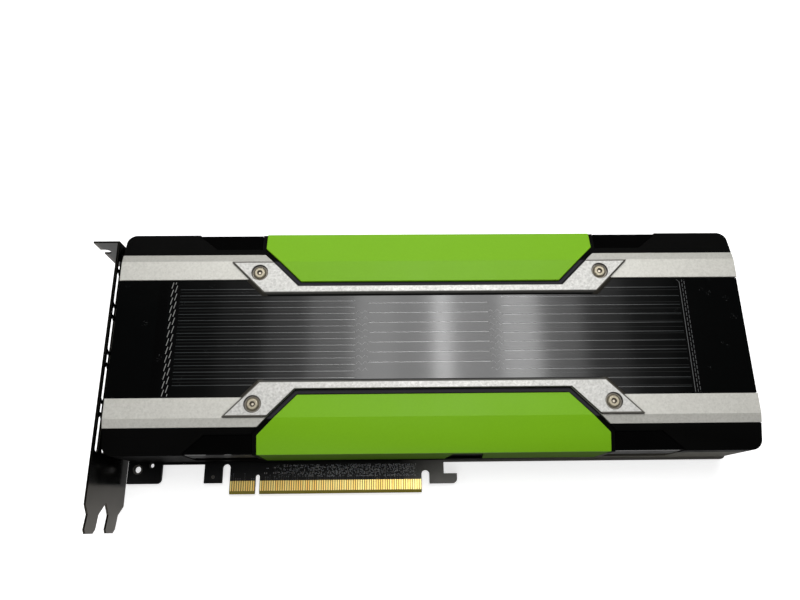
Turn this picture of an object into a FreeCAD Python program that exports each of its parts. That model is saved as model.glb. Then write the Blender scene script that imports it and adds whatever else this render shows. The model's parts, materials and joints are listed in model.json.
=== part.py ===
import FreeCAD, Part
import math
import os
import re
import Sketcher
from FreeCAD import Vector

# Passive (fanless) full-height, full-length, dual-slot accelerator card, in millimetres.
# X runs along the card from its bracket (-X) to its air inlet (+X), Y up the card's height with the
# contact edge at -Y, and Z out of the cover.  The card lies on its backplate, whose outer face is Z = 0,
# and the origin is the middle of that face.

SIZES = [
    # circuit board and its edge
    ("board_underside", 2.6),
    ("board_thickness", 1.57),
    ("board_left_inset", 0.1),
    ("board_right_inset", 1.5),
    ("board_top_step", 1.35),
    ("board_low_step", 0.9),
    ("finger_inset", 45),
    ("finger_drop", 12.9),
    ("short_finger", 11.15),
    ("long_finger", 71.15),
    ("key_width", 1.9),
    ("key_depth", 8.25),
    ("relief_width", 3.45),
    ("hook_stem", 6.4),
    ("hook_drop", 9.2),
    ("hook_reach", 12.2),
    ("hook_mouth", 4.9),
    ("tab_width", 7.9),
    ("lobe_width", 14.9),
    ("lobe_drop", 8.1),
    ("lobe_hole_bore", 2.8),
    ("lobe_hole_inset", 4.3),
    ("lobe_hole_drop", 2.0),
    ("tooling_hole_bore", 1.8),
    ("tooling_hole_inset", 10.4),
    ("tooling_hole_drop", 0.3),
    ("board_corner", 2.0),
    ("bevel_run", 1.3),
    ("bevel_rise", 0.45),
    # contacts
    ("contact_pitch", 1.0),
    ("contact_width", 0.7),
    ("contact_length", 4.3),
    ("contact_film", 0.06),
    ("contact_setback", 1.35),
    ("contact_margin", 0.225),
    # small capacitors above the contacts
    ("chip_pitch", 4.0),
    ("chip_length", 1.2),
    ("chip_breadth", 0.7),
    ("chip_rise", 0.6),
    ("chip_row_drop", 4.4),
    # shroud
    ("shroud_length", 266.6),
    ("shroud_height", 96.0),
    ("shroud_corner", 4.0),
    ("wall", 1.4),
    ("roof", 1.4),
    ("skin", 1.9),
    ("wall_skin", 1.1),
    ("rail_level", 37.7),
    ("slope_drop", 3.8),
    ("crease_inset", 14.3),
    ("cap_drop", 0.2),
    ("gloss_drop", 0.7),
    ("border_drop", 0.9),
    ("cover_level", 37.0),
    ("seam", 0.15),
    # rails, cover and wing plates, as distances from the middle line
    ("rail_inner_inset", 22.7),
    ("rail_outer_inset", 10.6),
    ("waist_rail_inset", 28.1),
    ("waist_half", 71.4),
    ("wing_inner_inset", 28.7),
    ("wing_rise", 1.0),
    ("wing_tip", 85.7),
    ("wing_top_inset", 14.5),
    ("skirt_run", 1.4),
    # inserts
    ("insert_inner_inset", 23.5),
    ("insert_half", 55.6),
    ("insert_end", 71.6),
    ("insert_foot", 9.5),
    ("border_width", 2.1),
    ("thumb_left", 6.0),
    ("thumb_right", 22.4),
    ("thumb_slant", 2.0),
    ("thumb_top", 28.8),
    # glossy side panels
    ("panel_top_inset", 7.8),
    ("panel_bend_inset", 40.6),
    ("panel_end_inset", 32.1),
    ("panel_foot", 19.3),
    ("recess_foot", 12.9),
    # stripes in the cover
    ("stripe_width", 0.3),
    ("stripe_depth", 0.15),
    ("stripe_inset", 26.3),
    ("left_zone_end", -32.3),
    ("left_zone_top_inset", 3.97),
    ("left_zone_low_inset", 5.08),
    ("left_zone_lines", 16),
    ("middle_zone_start", -26.7),
    ("middle_zone_end", 24.1),
    ("middle_zone_top_inset", 10.52),
    ("middle_zone_low_inset", 14.28),
    ("middle_zone_lines", 7),
    ("right_zone_start", 30.2),
    ("right_zone_top_inset", 4.11),
    ("right_zone_low_inset", 3.04),
    ("right_zone_lines", 12),
    # wing screws
    ("screw_x", 73.4),
    ("screw_row_inset", 19.7),
    ("screw_shank", 3.0),
    ("screw_head", 5.7),
    ("screw_head_rise", 0.9),
    ("screw_head_top", 4.1),
    ("screw_socket", 2.0),
    ("screw_socket_depth", 0.7),
    ("screw_length", 1.6),
    ("screw_pocket", 6.7),
    # backplate
    ("plate_gauge", 1.0),
    ("plate_rim", 1.4),
    ("plate_end_inset", 2.3),
    ("plate_edge_inset", 0.2),
    ("plate_corner", 3.5),
    ("plate_screw_shank", 2.0),
    ("plate_screw_head", 4.0),
    ("plate_sink_slope", 45.0),
    ("plate_screw_inset", 6.5),
    ("base_screw_inset", 23.3),
    ("base_screw_reach", 6.0),
    ("plate_recess", 1.3),
    ("plate_recess_depth", 0.7),
    ("tip_clearance", 1.0),
    ("fit", 0.1),
    # cast base plate over the board
    ("base_floor", 7.4),
    ("base_gauge", 2.0),
    ("base_left_inset", 8.3),
    ("base_right_inset", 16.3),
    ("base_height_inset", 3.4),
    ("base_notch", 8.0),
    ("lug", 8.0),
    ("window", 50.0),
    ("window_centre", -8.0),
    ("power_window_start", 45.3),
    ("power_window_stop", 17.3),
    ("post", 5.0),
    ("shroud_screw_inset", 7.3),
    ("shroud_screw_reach", 9.0),
    # processor
    ("package", 45.0),
    ("package_rise", 1.5),
    ("die_length", 26.0),
    ("die_height", 23.0),
    ("die_rise", 0.8),
    ("stiffener_band", 5.0),
    ("stiffener_rise", 0.55),
    # memory
    ("memory_length", 14.0),
    ("memory_height", 12.0),
    ("memory_rise", 1.1),
    ("memory_pitch", 15.5),
    ("memory_side_reach", 34.0),
    ("memory_end_reach", 32.5),
    ("pad_inset", 2.0),
    # cooler
    ("chamber_rise", 3.0),
    ("chamber_left_inset", 27.3),
    ("chamber_right_inset", 49.3),
    ("chamber_height_inset", 6),
    ("pedestal", 40.0),
    ("paste", 0.1),
    ("fin_gauge", 0.4),
    ("fin_pitch", 2.1),
    ("fin_top_gap", 0.3),
    # power parts
    ("choke", 9.5),
    ("choke_rise", 7.0),
    ("choke_pitch", 10.6),
    ("choke_inset", 37.3),
    ("stage_inset", 26.8),
    ("stage_length", 6.0),
    ("stage_height", 5.0),
    ("stage_rise", 0.9),
    ("can_inset", 20.7),
    ("can_length", 4.3),
    ("can_height", 7.3),
    ("can_rise", 3.1),
    # power inlet at the far end
    ("inlet_length", 13.3),
    ("inlet_width", 18.6),
    ("inlet_rise", 10.0),
    ("inlet_inset", 20.0),
    ("latch", 3.4),
    ("latch_rise", 1.2),
    ("socket", 3.3),
    ("socket_pitch", 4.2),
    ("socket_depth", 9.5),
    ("pin", 0.8),
    ("pin_reach", 7.0),
    # bracket
    ("bracket_gap", 1.44),
    ("bracket_gauge", 0.86),
    ("bracket_near", 0.2),
    ("bracket_far", 38.94),
    ("bracket_top", 43.2),
    ("flange_reach", 10.5),
    ("notch_apex", 65.3),
    ("taper_start", 66.3),
    ("taper_end", 70.0),
    ("tongue_tip", 77.2),
    ("tongue_lean", 1.1),
    ("tongue_width", 10.2),
    ("tongue_near", 9.6),
    ("slot_pitch", 20.32),
    ("tongue_corner", 1.6),
    ("flange_slot", 4.42),
    ("flange_slot_near", 8.7),
    ("flange_slot_depth", 3.8),
    ("vent_long", 14.4),
    ("vent_short", 3.5),
    ("vent_short_width", 3.0),
    ("vent_web", 1.35),
    ("vent_width", 3.4),
    ("vent_corner", 1.0),
    ("vent_row_pitch", 6.6),
    ("vent_start", -46.4),
    ("vent_first_row", 15.6),
    ("vent_columns", 4),
    ("vent_rows", 4),
    # bracket screws
    ("bracket_screw_shank", 2.5),
    ("bracket_screw_head", 5.0),
    ("bracket_screw_y", 33.0),
    ("bracket_screw_z", 6.8),
    ("bracket_screw_length", 7.0),
    ("bracket_screw_rise", 1.6),
    ("driver_reach", 1.5),
    ("driver_half", 0.3),
]

# Lengths that follow from the sizes above, written as formulas of them.
DERIVED = [
    ("board_face", "board_underside + board_thickness"),
    ("half_length", "shroud_length / 2"),
    ("half_height", "shroud_height / 2"),
    ("board_left", "half_length - board_left_inset"),
    ("board_right", "half_length - board_right_inset"),
    ("finger_left", "half_length - finger_inset"),
    ("base_left", "half_length - base_left_inset"),
    ("base_right", "half_length - base_right_inset"),
    ("chamber_left", "half_length - chamber_left_inset"),
    ("chamber_right", "half_length - chamber_right_inset"),
    ("choke_x", "half_length - choke_inset"),
    ("stage_x", "half_length - stage_inset"),
    ("can_x", "half_length - can_inset"),
    ("shroud_screw_x", "half_length - shroud_screw_inset"),
    ("base_screw_x", "half_length - base_screw_inset"),
    ("panel_bend", "half_length - panel_bend_inset"),
    ("panel_end", "half_length - panel_end_inset"),
    ("power_window_left", "half_length - power_window_start"),
    ("power_window_right", "half_length - power_window_stop"),
    ("board_top_edge", "half_height + board_top_step"),
    ("board_low_edge", "half_height + board_low_step"),
    ("base_height", "half_height - base_height_inset"),
    ("chamber_height", "half_height - chamber_height_inset"),
    ("plate_screw_rows", "half_height - plate_screw_inset"),
    ("crease_reach", "half_height - crease_inset"),
    ("rail_inner", "half_height - rail_inner_inset"),
    ("rail_outer", "half_height - rail_outer_inset"),
    ("waist_rail", "half_height - waist_rail_inset"),
    ("wing_inner", "half_height - wing_inner_inset"),
    ("wing_top", "half_height - wing_top_inset"),
    ("insert_inner", "half_height - insert_inner_inset"),
    ("panel_top", "half_height - panel_top_inset"),
    ("screw_y", "half_height - screw_row_inset"),
    ("stripe_half", "half_length - stripe_inset"),
    ("inlet_y", "half_height - inlet_inset"),
    ("plate_length", "shroud_length - 2 * plate_end_inset"),
    ("plate_height", "shroud_height - 2 * plate_edge_inset"),
    ("plate_sink_depth", "(plate_screw_head - plate_screw_shank) / 2"),
    ("seat_level", "rail_level - skin"),
    ("roof_under", "rail_level - skin - roof"),
    ("crease_slope", "slope_drop / (half_height - crease_reach)"),
    ("cavity_half", "half_height - wall_skin - wall"),
    ("finger_end", "finger_left - short_finger - key_width - long_finger"),
    ("hook_left", "finger_end - relief_width"),
    ("rail_slant", "insert_half - insert_inner + 1.414 * border_width + seam"),
    ("insert_slant", "insert_half - insert_inner"),
    ("border_slant", "insert_slant + 1.414 * border_width"),
    ("wing_level", "rail_level + wing_rise"),
    ("wing_slant", "wing_tip - wing_top"),
    ("base_top", "base_floor + base_gauge"),
    ("chamber_top", "base_top + chamber_rise"),
    ("die_top", "board_face + package_rise + die_rise"),
    ("bracket_inner", "-(half_length + bracket_gap)"),
    ("bracket_face", "bracket_inner - bracket_gauge"),
    ("vent_period", "vent_long + vent_short + 2 * vent_web"),
]
for zone in ("left", "middle", "right"):
    DERIVED += [
        (zone + "_zone_low", "rail_inner - %s_zone_low_inset" % zone),
        (zone + "_zone_span", "2 * rail_inner - %s_zone_top_inset - %s_zone_low_inset" % (zone, zone)),
        (zone + "_zone_pitch", "%s_zone_span / (%s_zone_lines - 1)" % (zone, zone))]

doc = FreeCAD.newDocument("accelerator_card")
sheet = doc.addObject("Spreadsheet::Sheet", "Sizes")
NAMES = [name for name, _ in SIZES] + [name for name, _ in DERIVED]
nodes = {}


def bound(formula):
    """The formula with each size written as a cell of the sheet."""
    return re.sub(r"[a-z]\w*", lambda word: "Sizes." + word.group(0) if word.group(0) in NAMES
                  else word.group(0), str(formula))


def fill_sheet():
    for row, (name, value) in enumerate(SIZES + DERIVED, start=1):
        sheet.set("A%d" % row, name)
        formula = isinstance(value, str)
        sheet.set("B%d" % row, "=" + value if formula else str(value))
        sheet.setAlias("B%d" % row, name)
    doc.recompute()


def amount(formula):
    """The number that a formula of sizes gives now."""
    return float(sheet.evalExpression(bound(formula)))


def bind(thing, **formulas):
    for name, formula in formulas.items():
        thing.setExpression(name, bound(formula))


def place(thing, x="0", y="0", z="0"):
    """Sets a placement from formulas of the sheet."""
    thing.setExpression("Placement.Base.x", bound(x))
    thing.setExpression("Placement.Base.y", bound(y))
    thing.setExpression("Placement.Base.z", bound(z))


def new_body(label, many=False):
    body = doc.addObject("PartDesign::Body", label)
    body.Label = label
    body.AllowCompound = many
    return body


def origin_feature(body, role):
    return next(item for item in body.Origin.OriginFeatures if item.Role == role)


def new_sketch(body, label, plane, lift="0"):
    """A sketch on an origin plane of its body, lifted along the plane's normal."""
    sketch = body.newObject("Sketcher::SketchObject", label)
    sketch.AttachmentSupport = [(origin_feature(body, plane), "")]
    sketch.MapMode = "FlatFace"
    sketch.setExpression("AttachmentOffset.Base.z", bound(lift))
    return sketch


def tie(sketch, formula, *constraint):
    """Adds a constraint whose value is a formula of the sheet."""
    number = sketch.addConstraint(Sketcher.Constraint(*constraint, amount(formula)))
    sketch.setExpression("Constraints[%d]" % number, bound(formula))


def tie_point(sketch, edge, end, across, up):
    """Holds a point of an edge at two formulas of the sheet, measured from the sketch's origin."""
    tie(sketch, across, "DistanceX", -1, 1, edge, end)
    tie(sketch, up, "DistanceY", -1, 1, edge, end)


def add_outline(sketch, points):
    """A closed run of straight edges whose corners are formulas of the sheet."""
    first = sketch.GeometryCount
    corners = [Vector(amount(across), amount(up), 0) for across, up in points]
    count = len(corners)
    sketch.addGeometry([Part.LineSegment(corners[index], corners[(index + 1) % count])
                        for index in range(count)], False)
    sketch.addConstraint([
        Sketcher.Constraint("Coincident", first + index, 2, first + (index + 1) % count, 1)
        for index in range(count)])
    for index, (across, up) in enumerate(points):
        tie_point(sketch, first + index, 1, across, up)


def rectangle(left, low, right, high):
    return [(left, low), (right, low), (right, high), (left, high)]


def mirrored_up(points):
    """The points and their mirror image across the sketch's upright axis, as one closed outline."""
    return points + [("-(%s)" % across, up) for across, up in reversed(points)]


def clipped(left, low, right, high, corner):
    """A rectangle with its corners cut off at 45 degrees."""
    return [(left + " + " + corner, low), (right + " - " + corner, low), (right, low + " + " + corner),
            (right, high + " - " + corner), (right + " - " + corner, high), (left + " + " + corner, high),
            (left, high + " - " + corner), (left, low + " + " + corner)]


def square(across, up, side):
    return rectangle("%s - %s / 2" % (across, side), "%s - %s / 2" % (up, side),
                     "%s + %s / 2" % (across, side), "%s + %s / 2" % (up, side))


def hexagon(across, up, flats):
    """A regular hexagon, as wide as flats between two opposite sides."""
    turns = [math.radians(angle) for angle in range(0, 360, 60)]
    return [("%s + %s * %.4f" % (across, flats, math.cos(turn) / math.sqrt(3)),
             "%s + %s * %.4f" % (up, flats, math.sin(turn) / math.sqrt(3))) for turn in turns]


def add_circle(sketch, across, up, bore):
    number = sketch.addGeometry(Part.Circle(Vector(amount(across), amount(up), 0), Vector(0, 0, 1),
                                            amount(bore) / 2), False)
    tie_point(sketch, number, 3, across, up)
    tie(sketch, bore, "Diameter", number)


def add_slot(sketch, left, right, up, width):
    """A slot along the sketch's first axis with round ends, centred on the formula up."""
    radius = amount(width) / 2
    centres = [left + " + (%s) / 2" % width, right + " - (%s) / 2" % width]
    low, high = [Vector(amount(across), amount(up), 0) for across in centres]
    rise = Vector(0, radius, 0)
    axis = Vector(0, 0, 1)
    start = sketch.addGeometry(Part.ArcOfCircle(Part.Circle(low, axis, radius),
                                                math.pi / 2, 3 * math.pi / 2), False)
    sketch.addGeometry(Part.LineSegment(low - rise, high - rise), False)
    sketch.addGeometry(Part.ArcOfCircle(Part.Circle(high, axis, radius), -math.pi / 2, math.pi / 2), False)
    sketch.addGeometry(Part.LineSegment(high + rise, low + rise), False)
    for first, first_end, second, second_end in ((0, 2, 1, 1), (1, 2, 2, 1), (2, 2, 3, 1), (3, 2, 0, 1)):
        sketch.addConstraint(Sketcher.Constraint("Tangent", start + first, first_end,
                                                 start + second, second_end))
    tie_point(sketch, start, 3, centres[0], up)
    tie_point(sketch, start + 2, 3, centres[1], up)
    tie(sketch, "(%s) / 2" % width, "Radius", start)


def pad(body, sketch, length, both_ways=False, slope="0"):
    feature = body.newObject("PartDesign::Pad", sketch.Name + "_pad")
    feature.Profile = sketch
    feature.SideType = "Symmetric" if both_ways else "One side"
    bind(feature, Length=length, TaperAngle=slope)
    doc.recompute()
    return feature


def pocket(body, sketch, length, both_ways=False, reverse=False, slope="0"):
    """A cut that has to take something away."""
    before = body.Tip.Shape.Volume
    feature = body.newObject("PartDesign::Pocket", sketch.Name + "_pocket")
    feature.Profile = sketch
    feature.SideType = "Symmetric" if both_ways else "One side"
    feature.Reversed = reverse
    bind(feature, Length=length, TaperAngle=slope)
    doc.recompute()
    if not feature.Shape.Volume < before:
        raise RuntimeError("%s cuts nothing" % feature.Label)
    return feature


def line_pattern(body, label, axis, pitch, copies):
    pattern = body.newObject("PartDesign::LinearPattern", label)
    pattern.Direction = (origin_feature(body, axis), [""])
    pattern.Mode = "Spacing"
    bind(pattern, Offset=pitch, Occurrences=copies)
    return pattern


def row_of(body, features, axis, pitch, copies):
    """A row of copies with named spacing."""
    pattern = line_pattern(body, features[0].Name + "_row", axis, pitch, copies)
    pattern.Originals = features
    body.Tip = pattern
    doc.recompute()
    return pattern


def grid_of(body, features, first, second):
    """Rows and columns of copies; first and second are (axis, pitch, copies)."""
    grid = body.newObject("PartDesign::MultiTransform", features[0].Name + "_grid")
    grid.Originals = features
    grid.Transformations = [line_pattern(body, "%s_%s" % (features[0].Name, part), *way)
                            for part, way in (("along", first), ("across", second))]
    body.Tip = grid
    doc.recompute()
    return grid


def four_corners(body, features):
    """The features and their images across both upright middle planes."""
    multi = body.newObject("PartDesign::MultiTransform", features[0].Name + "_four")
    multi.Originals = features
    images = []
    for plane in ("YZ_Plane", "XZ_Plane"):
        image = body.newObject("PartDesign::Mirrored", "%s_%s" % (features[0].Name, plane[:2].lower()))
        image.MirrorPlane = (origin_feature(body, plane), [""])
        images.append(image)
    multi.Transformations = images
    body.Tip = multi
    doc.recompute()
    return multi


def edges_where(shape, test):
    """Names of the straight edges whose two ends both pass the test."""
    found = []
    for number, edge in enumerate(shape.Edges, start=1):
        ends = [vertex.Point for vertex in edge.Vertexes]
        if len(ends) == 2 and all(test(end) for end in ends):
            found.append("Edge%d" % number)
    return found


def upright_edges(shape, spots):
    """Names of the edges that stand along Z over the given (x, y) formulas."""
    places = [(amount(x), amount(y)) for x, y in spots]
    names = []
    for x, y in places:
        names += edges_where(shape, lambda end: abs(end.x - x) < 0.01 and abs(end.y - y) < 0.01)
    if len(names) != len(places):
        raise RuntimeError("an edge to round is missing")
    return names


def fillet(body, names, radius):
    feature = body.newObject("PartDesign::Fillet", body.Name + "_fillet")
    feature.Base = (body.Tip if body.Tip != feature else feature.BaseFeature, names)
    bind(feature, Radius=radius)
    body.Tip = feature
    doc.recompute()
    return feature


def boolean(kind, label, base, tool):
    """A Part::Cut or Part::Common of two objects."""
    result = doc.addObject("Part::" + kind, label)
    result.Base = base
    result.Tool = tool
    doc.recompute()
    return result


def keep(name, thing):
    """Makes a finished object the sub-part of that name."""
    thing.Label = name
    nodes[name] = thing
    return thing


# ---------------------------------------------------------------- circuit board

def circuit_board():
    """The board's outline: lobe, tab, two contact fingers with the key between them, and the hook."""
    body = new_body("circuit_board")
    place(body, z="board_underside")
    outline = new_sketch(body, "board_outline", "XY_Plane")
    low = "-board_low_edge"
    finger = "-board_low_edge - finger_drop"
    lobe = "-board_low_edge - lobe_drop"
    key_left = "-finger_left + short_finger"
    key_top = "-board_low_edge - finger_drop + key_depth"
    tab_right = "-finger_left - relief_width"
    tab_left = "-finger_left - relief_width - tab_width"
    lobe_right = "-board_left + lobe_width"
    hook_right = "-hook_left + hook_stem"
    add_outline(outline, [
        ("-board_left", "board_top_edge"), ("-board_left", lobe), (lobe_right, lobe), (lobe_right, low),
        (tab_left, low), (tab_left, lobe), (tab_right, lobe), (tab_right, low),
        ("-finger_left", low), ("-finger_left", finger), (key_left, finger), (key_left, key_top),
        (key_left + " + key_width", key_top), (key_left + " + key_width", finger),
        ("-finger_end", finger), ("-finger_end", "-board_low_edge - relief_width"),
        ("-hook_left", "-board_low_edge - relief_width"),
        ("-hook_left", "-board_low_edge - hook_drop"),
        ("-hook_left + hook_reach", "-board_low_edge - hook_drop"),
        ("-hook_left + hook_reach", "-board_low_edge - hook_mouth"),
        (hook_right, "-board_low_edge - hook_mouth"), (hook_right, low),
        ("board_right", low), ("board_right", "board_top_edge")])
    pad(body, outline, "board_thickness")
    fillet(body, upright_edges(body.Tip.Shape, [
        ("-finger_end", "-board_low_edge - relief_width"),
        ("-hook_left", "-board_low_edge - relief_width"),
        ("-finger_left", low), (tab_right, low)]), "relief_width / 2 - 0.02")
    fillet(body, upright_edges(body.Tip.Shape, [
        (key_left, key_top), (key_left + " + key_width", key_top)]), "key_width / 2 - 0.02")
    fillet(body, upright_edges(body.Tip.Shape, [
        ("-hook_left + hook_reach", "-board_low_edge - hook_drop"), (lobe_right, lobe),
        ("board_right", low), ("board_right", "board_top_edge"),
        ("-board_left", "board_top_edge")]), "board_corner")
    bevel = new_sketch(body, "board_bevel", "YZ_Plane")
    for face, inward in (("0", "bevel_rise"), ("board_thickness", "board_thickness - bevel_rise")):
        add_outline(bevel, [(finger, face), (finger + " + bevel_run", face), (finger, inward)])
    pocket(body, bevel, "2 * shroud_length", both_ways=True)
    holes = new_sketch(body, "board_holes", "XY_Plane")
    for hole in ("lobe", "tooling"):
        add_circle(holes, "-board_left + %s_hole_inset" % hole, "-board_low_edge - %s_hole_drop" % hole,
                   hole + "_hole_bore")
    for x, y in base_screw_spots() + shroud_screw_spots():
        add_circle(holes, x, y, "plate_screw_shank + 2 * fit")
    pocket(body, holes, "board_thickness", reverse=True)
    keep("circuit_board", body)


def edge_contacts(label, level):
    """Gold pads of one face: those on the short finger, then those past the key."""
    body = new_body(label, many=True)
    place(body, z=level)
    top = "-board_low_edge - finger_drop + contact_setback + contact_length"
    low = "-board_low_edge - finger_drop + contact_setback"
    rows = (("short", "-finger_left + contact_margin", "short_finger"),
            ("long", "-finger_left + short_finger + key_width + contact_margin", "long_finger"))
    for part, left, length in rows:
        sketch = new_sketch(body, "%s_%s" % (label, part), "XY_Plane")
        add_outline(sketch, rectangle(left, low, left + " + contact_width", top))
        first = pad(body, sketch, "contact_film")
        row_of(body, [first], "X_Axis", "contact_pitch", "floor(%s / contact_pitch)" % length)
    keep(label, body)


def coupling_capacitors():
    """A row of small chip capacitors on the strip above the contacts."""
    body = new_body("coupling_capacitors", many=True)
    place(body, z="board_face")
    sketch = new_sketch(body, "chip", "XY_Plane")
    left = "-finger_left + short_finger + key_width + chip_pitch / 2"
    low = "-board_low_edge - chip_row_drop"
    add_outline(sketch, rectangle(left, low, left + " + chip_length", low + " + chip_breadth"))
    first = pad(body, sketch, "chip_rise")
    row_of(body, [first], "X_Axis", "chip_pitch", "floor((long_finger - chip_pitch) / chip_pitch)")
    keep("coupling_capacitors", body)


# ---------------------------------------------------------------- backplate and its screws

def base_screw_spots():
    """Two corners where one screw clamps the backplate, the board, the base plate and the shroud."""
    return [("base_screw_x", sign + "plate_screw_rows") for sign in ("", "-")]


def shroud_screw_spots():
    """The two corners by the bracket, where the shroud stands on the board."""
    return [("-shroud_screw_x", sign + "plate_screw_rows") for sign in ("", "-")]


def backplate():
    """A shallow tray: a flat sheet with a rim that meets the board."""
    body = new_body("backplate")
    outline = new_sketch(body, "backplate_outline", "XY_Plane")
    add_outline(outline, rectangle("-plate_length / 2", "-plate_height / 2",
                                   "plate_length / 2", "plate_height / 2"))
    pad(body, outline, "board_underside")
    fillet(body, upright_edges(body.Tip.Shape, [
        (along + "plate_length / 2", up + "plate_height / 2")
        for along in ("", "-") for up in ("", "-")]), "plate_corner")
    hollow = new_sketch(body, "backplate_hollow", "XY_Plane", lift="plate_gauge")
    add_outline(hollow, rectangle("-plate_length / 2 + plate_rim", "-plate_height / 2 + plate_rim",
                                  "plate_length / 2 - plate_rim", "plate_height / 2 - plate_rim"))
    pocket(body, hollow, "board_underside", reverse=True)
    posts = new_sketch(body, "backplate_posts", "XY_Plane", lift="plate_gauge")
    for x, y in base_screw_spots() + shroud_screw_spots():
        add_outline(posts, square(x, y, "post"))
    pad(body, posts, "board_underside - plate_gauge")
    bores = new_sketch(body, "backplate_bores", "XY_Plane")
    for x, y in base_screw_spots() + shroud_screw_spots():
        add_circle(bores, x, y, "plate_screw_shank + 2 * fit")
    pocket(body, bores, "board_underside", reverse=True)
    sinks = new_sketch(body, "backplate_sinks", "XY_Plane")
    for x, y in base_screw_spots() + shroud_screw_spots():
        add_circle(sinks, x, y, "plate_screw_head + 2 * fit")
    pocket(body, sinks, "plate_sink_depth", reverse=True, slope="-plate_sink_slope")
    keep("backplate", body)


def flat_screws(label, spots, height):
    """Countersunk screws from the back: heads in the backplate, shanks up to the given height."""
    body = new_body(label, many=True)
    heads = new_sketch(body, label + "_heads", "XY_Plane", lift="fit / 2")
    for x, y in spots:
        add_circle(heads, x, y, "plate_screw_head")
    pad(body, heads, "plate_sink_depth", slope="-plate_sink_slope")
    shanks = new_sketch(body, label + "_shanks", "XY_Plane", lift="plate_sink_depth + fit / 2")
    for x, y in spots:
        add_circle(shanks, x, y, "plate_screw_shank")
    pad(body, shanks, "%s - plate_sink_depth - fit / 2" % height)
    recess = new_sketch(body, label + "_recess", "XY_Plane")
    for x, y in spots:
        add_outline(recess, hexagon(x, y, "plate_recess"))
    pocket(body, recess, "plate_recess_depth", reverse=True)
    keep(label, body)


# ---------------------------------------------------------------- what sits on the board

def block_grid(label, level, rise, blocks):
    """Rectangular bodies on the board, each given as (x, y, length, height) formulas of its middle."""
    body = new_body(label, many=True)
    place(body, z=level)
    sketch = new_sketch(body, label + "_outline", "XY_Plane")
    for x, y, length, height in blocks:
        add_outline(sketch, rectangle("%s - (%s) / 2" % (x, length), "%s - (%s) / 2" % (y, height),
                                      "%s + (%s) / 2" % (x, length), "%s + (%s) / 2" % (y, height)))
    pad(body, sketch, rise)
    return keep(label, body)


def memory_places():
    """Twelve chips in a frame round the processor: four at each side, two above and two below."""
    places = []
    for side in ("-", "+"):
        for step in (-1.5, -0.5, 0.5, 1.5):
            places.append(("window_centre %s memory_side_reach" % side, "%g * memory_pitch" % step,
                           "memory_height", "memory_length"))
    for side in ("-", ""):
        for step in (-0.5, 0.5):
            places.append(("window_centre + %g * memory_pitch" % step, side + "memory_end_reach",
                           "memory_length", "memory_height"))
    return places


def thermal_strips():
    """A strip of pad over each run of chips."""
    column = "(3 * memory_pitch + memory_length - pad_inset)"
    row = "(memory_pitch + memory_length - pad_inset)"
    breadth = "(memory_height - pad_inset)"
    places = [("window_centre %s memory_side_reach" % side, "0", breadth, column) for side in ("-", "+")]
    return places + [("window_centre", side + "memory_end_reach", row, breadth) for side in ("-", "")]


def processor():
    block_grid("processor_package", "board_face", "package_rise",
               [("window_centre", "0", "package", "package")])
    block_grid("processor_die", "board_face + package_rise", "die_rise",
               [("window_centre", "0", "die_length", "die_height")])
    body = new_body("package_stiffener")
    place(body, z="board_face + package_rise")
    ring = new_sketch(body, "stiffener_ring", "XY_Plane")
    for inset in ("fit", "stiffener_band"):
        half = "(package / 2 - %s)" % inset
        add_outline(ring, rectangle("window_centre - " + half, "-" + half, "window_centre + " + half, half))
    pad(body, ring, "stiffener_rise")
    keep("package_stiffener", body)


def memory():
    block_grid("memory_chips_front", "board_face", "memory_rise", memory_places())
    block_grid("memory_chips_back", "board_underside - memory_rise", "memory_rise", memory_places())
    block_grid("thermal_pads_front", "board_face + memory_rise",
               "base_floor - board_face - memory_rise", thermal_strips())
    block_grid("thermal_pads_back", "plate_gauge",
               "board_underside - memory_rise - plate_gauge", thermal_strips())


def power_parts():
    """Chokes, power stages and bulk capacitors in three columns ahead of the fins."""
    steps = (-3, -2, -1, 0, 1, 2)
    block_grid("power_chokes", "board_face", "choke_rise",
               [("choke_x", "%g * choke_pitch" % step, "choke", "choke") for step in steps])
    block_grid("power_stages", "board_face", "stage_rise",
               [("stage_x", "%g * choke_pitch" % step, "stage_height", "stage_length") for step in steps])
    block_grid("bulk_capacitors", "board_face", "can_rise",
               [("can_x", "%g * choke_pitch" % step, "can_length", "can_height") for step in steps])


# ---------------------------------------------------------------- base plate and cooler

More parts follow.
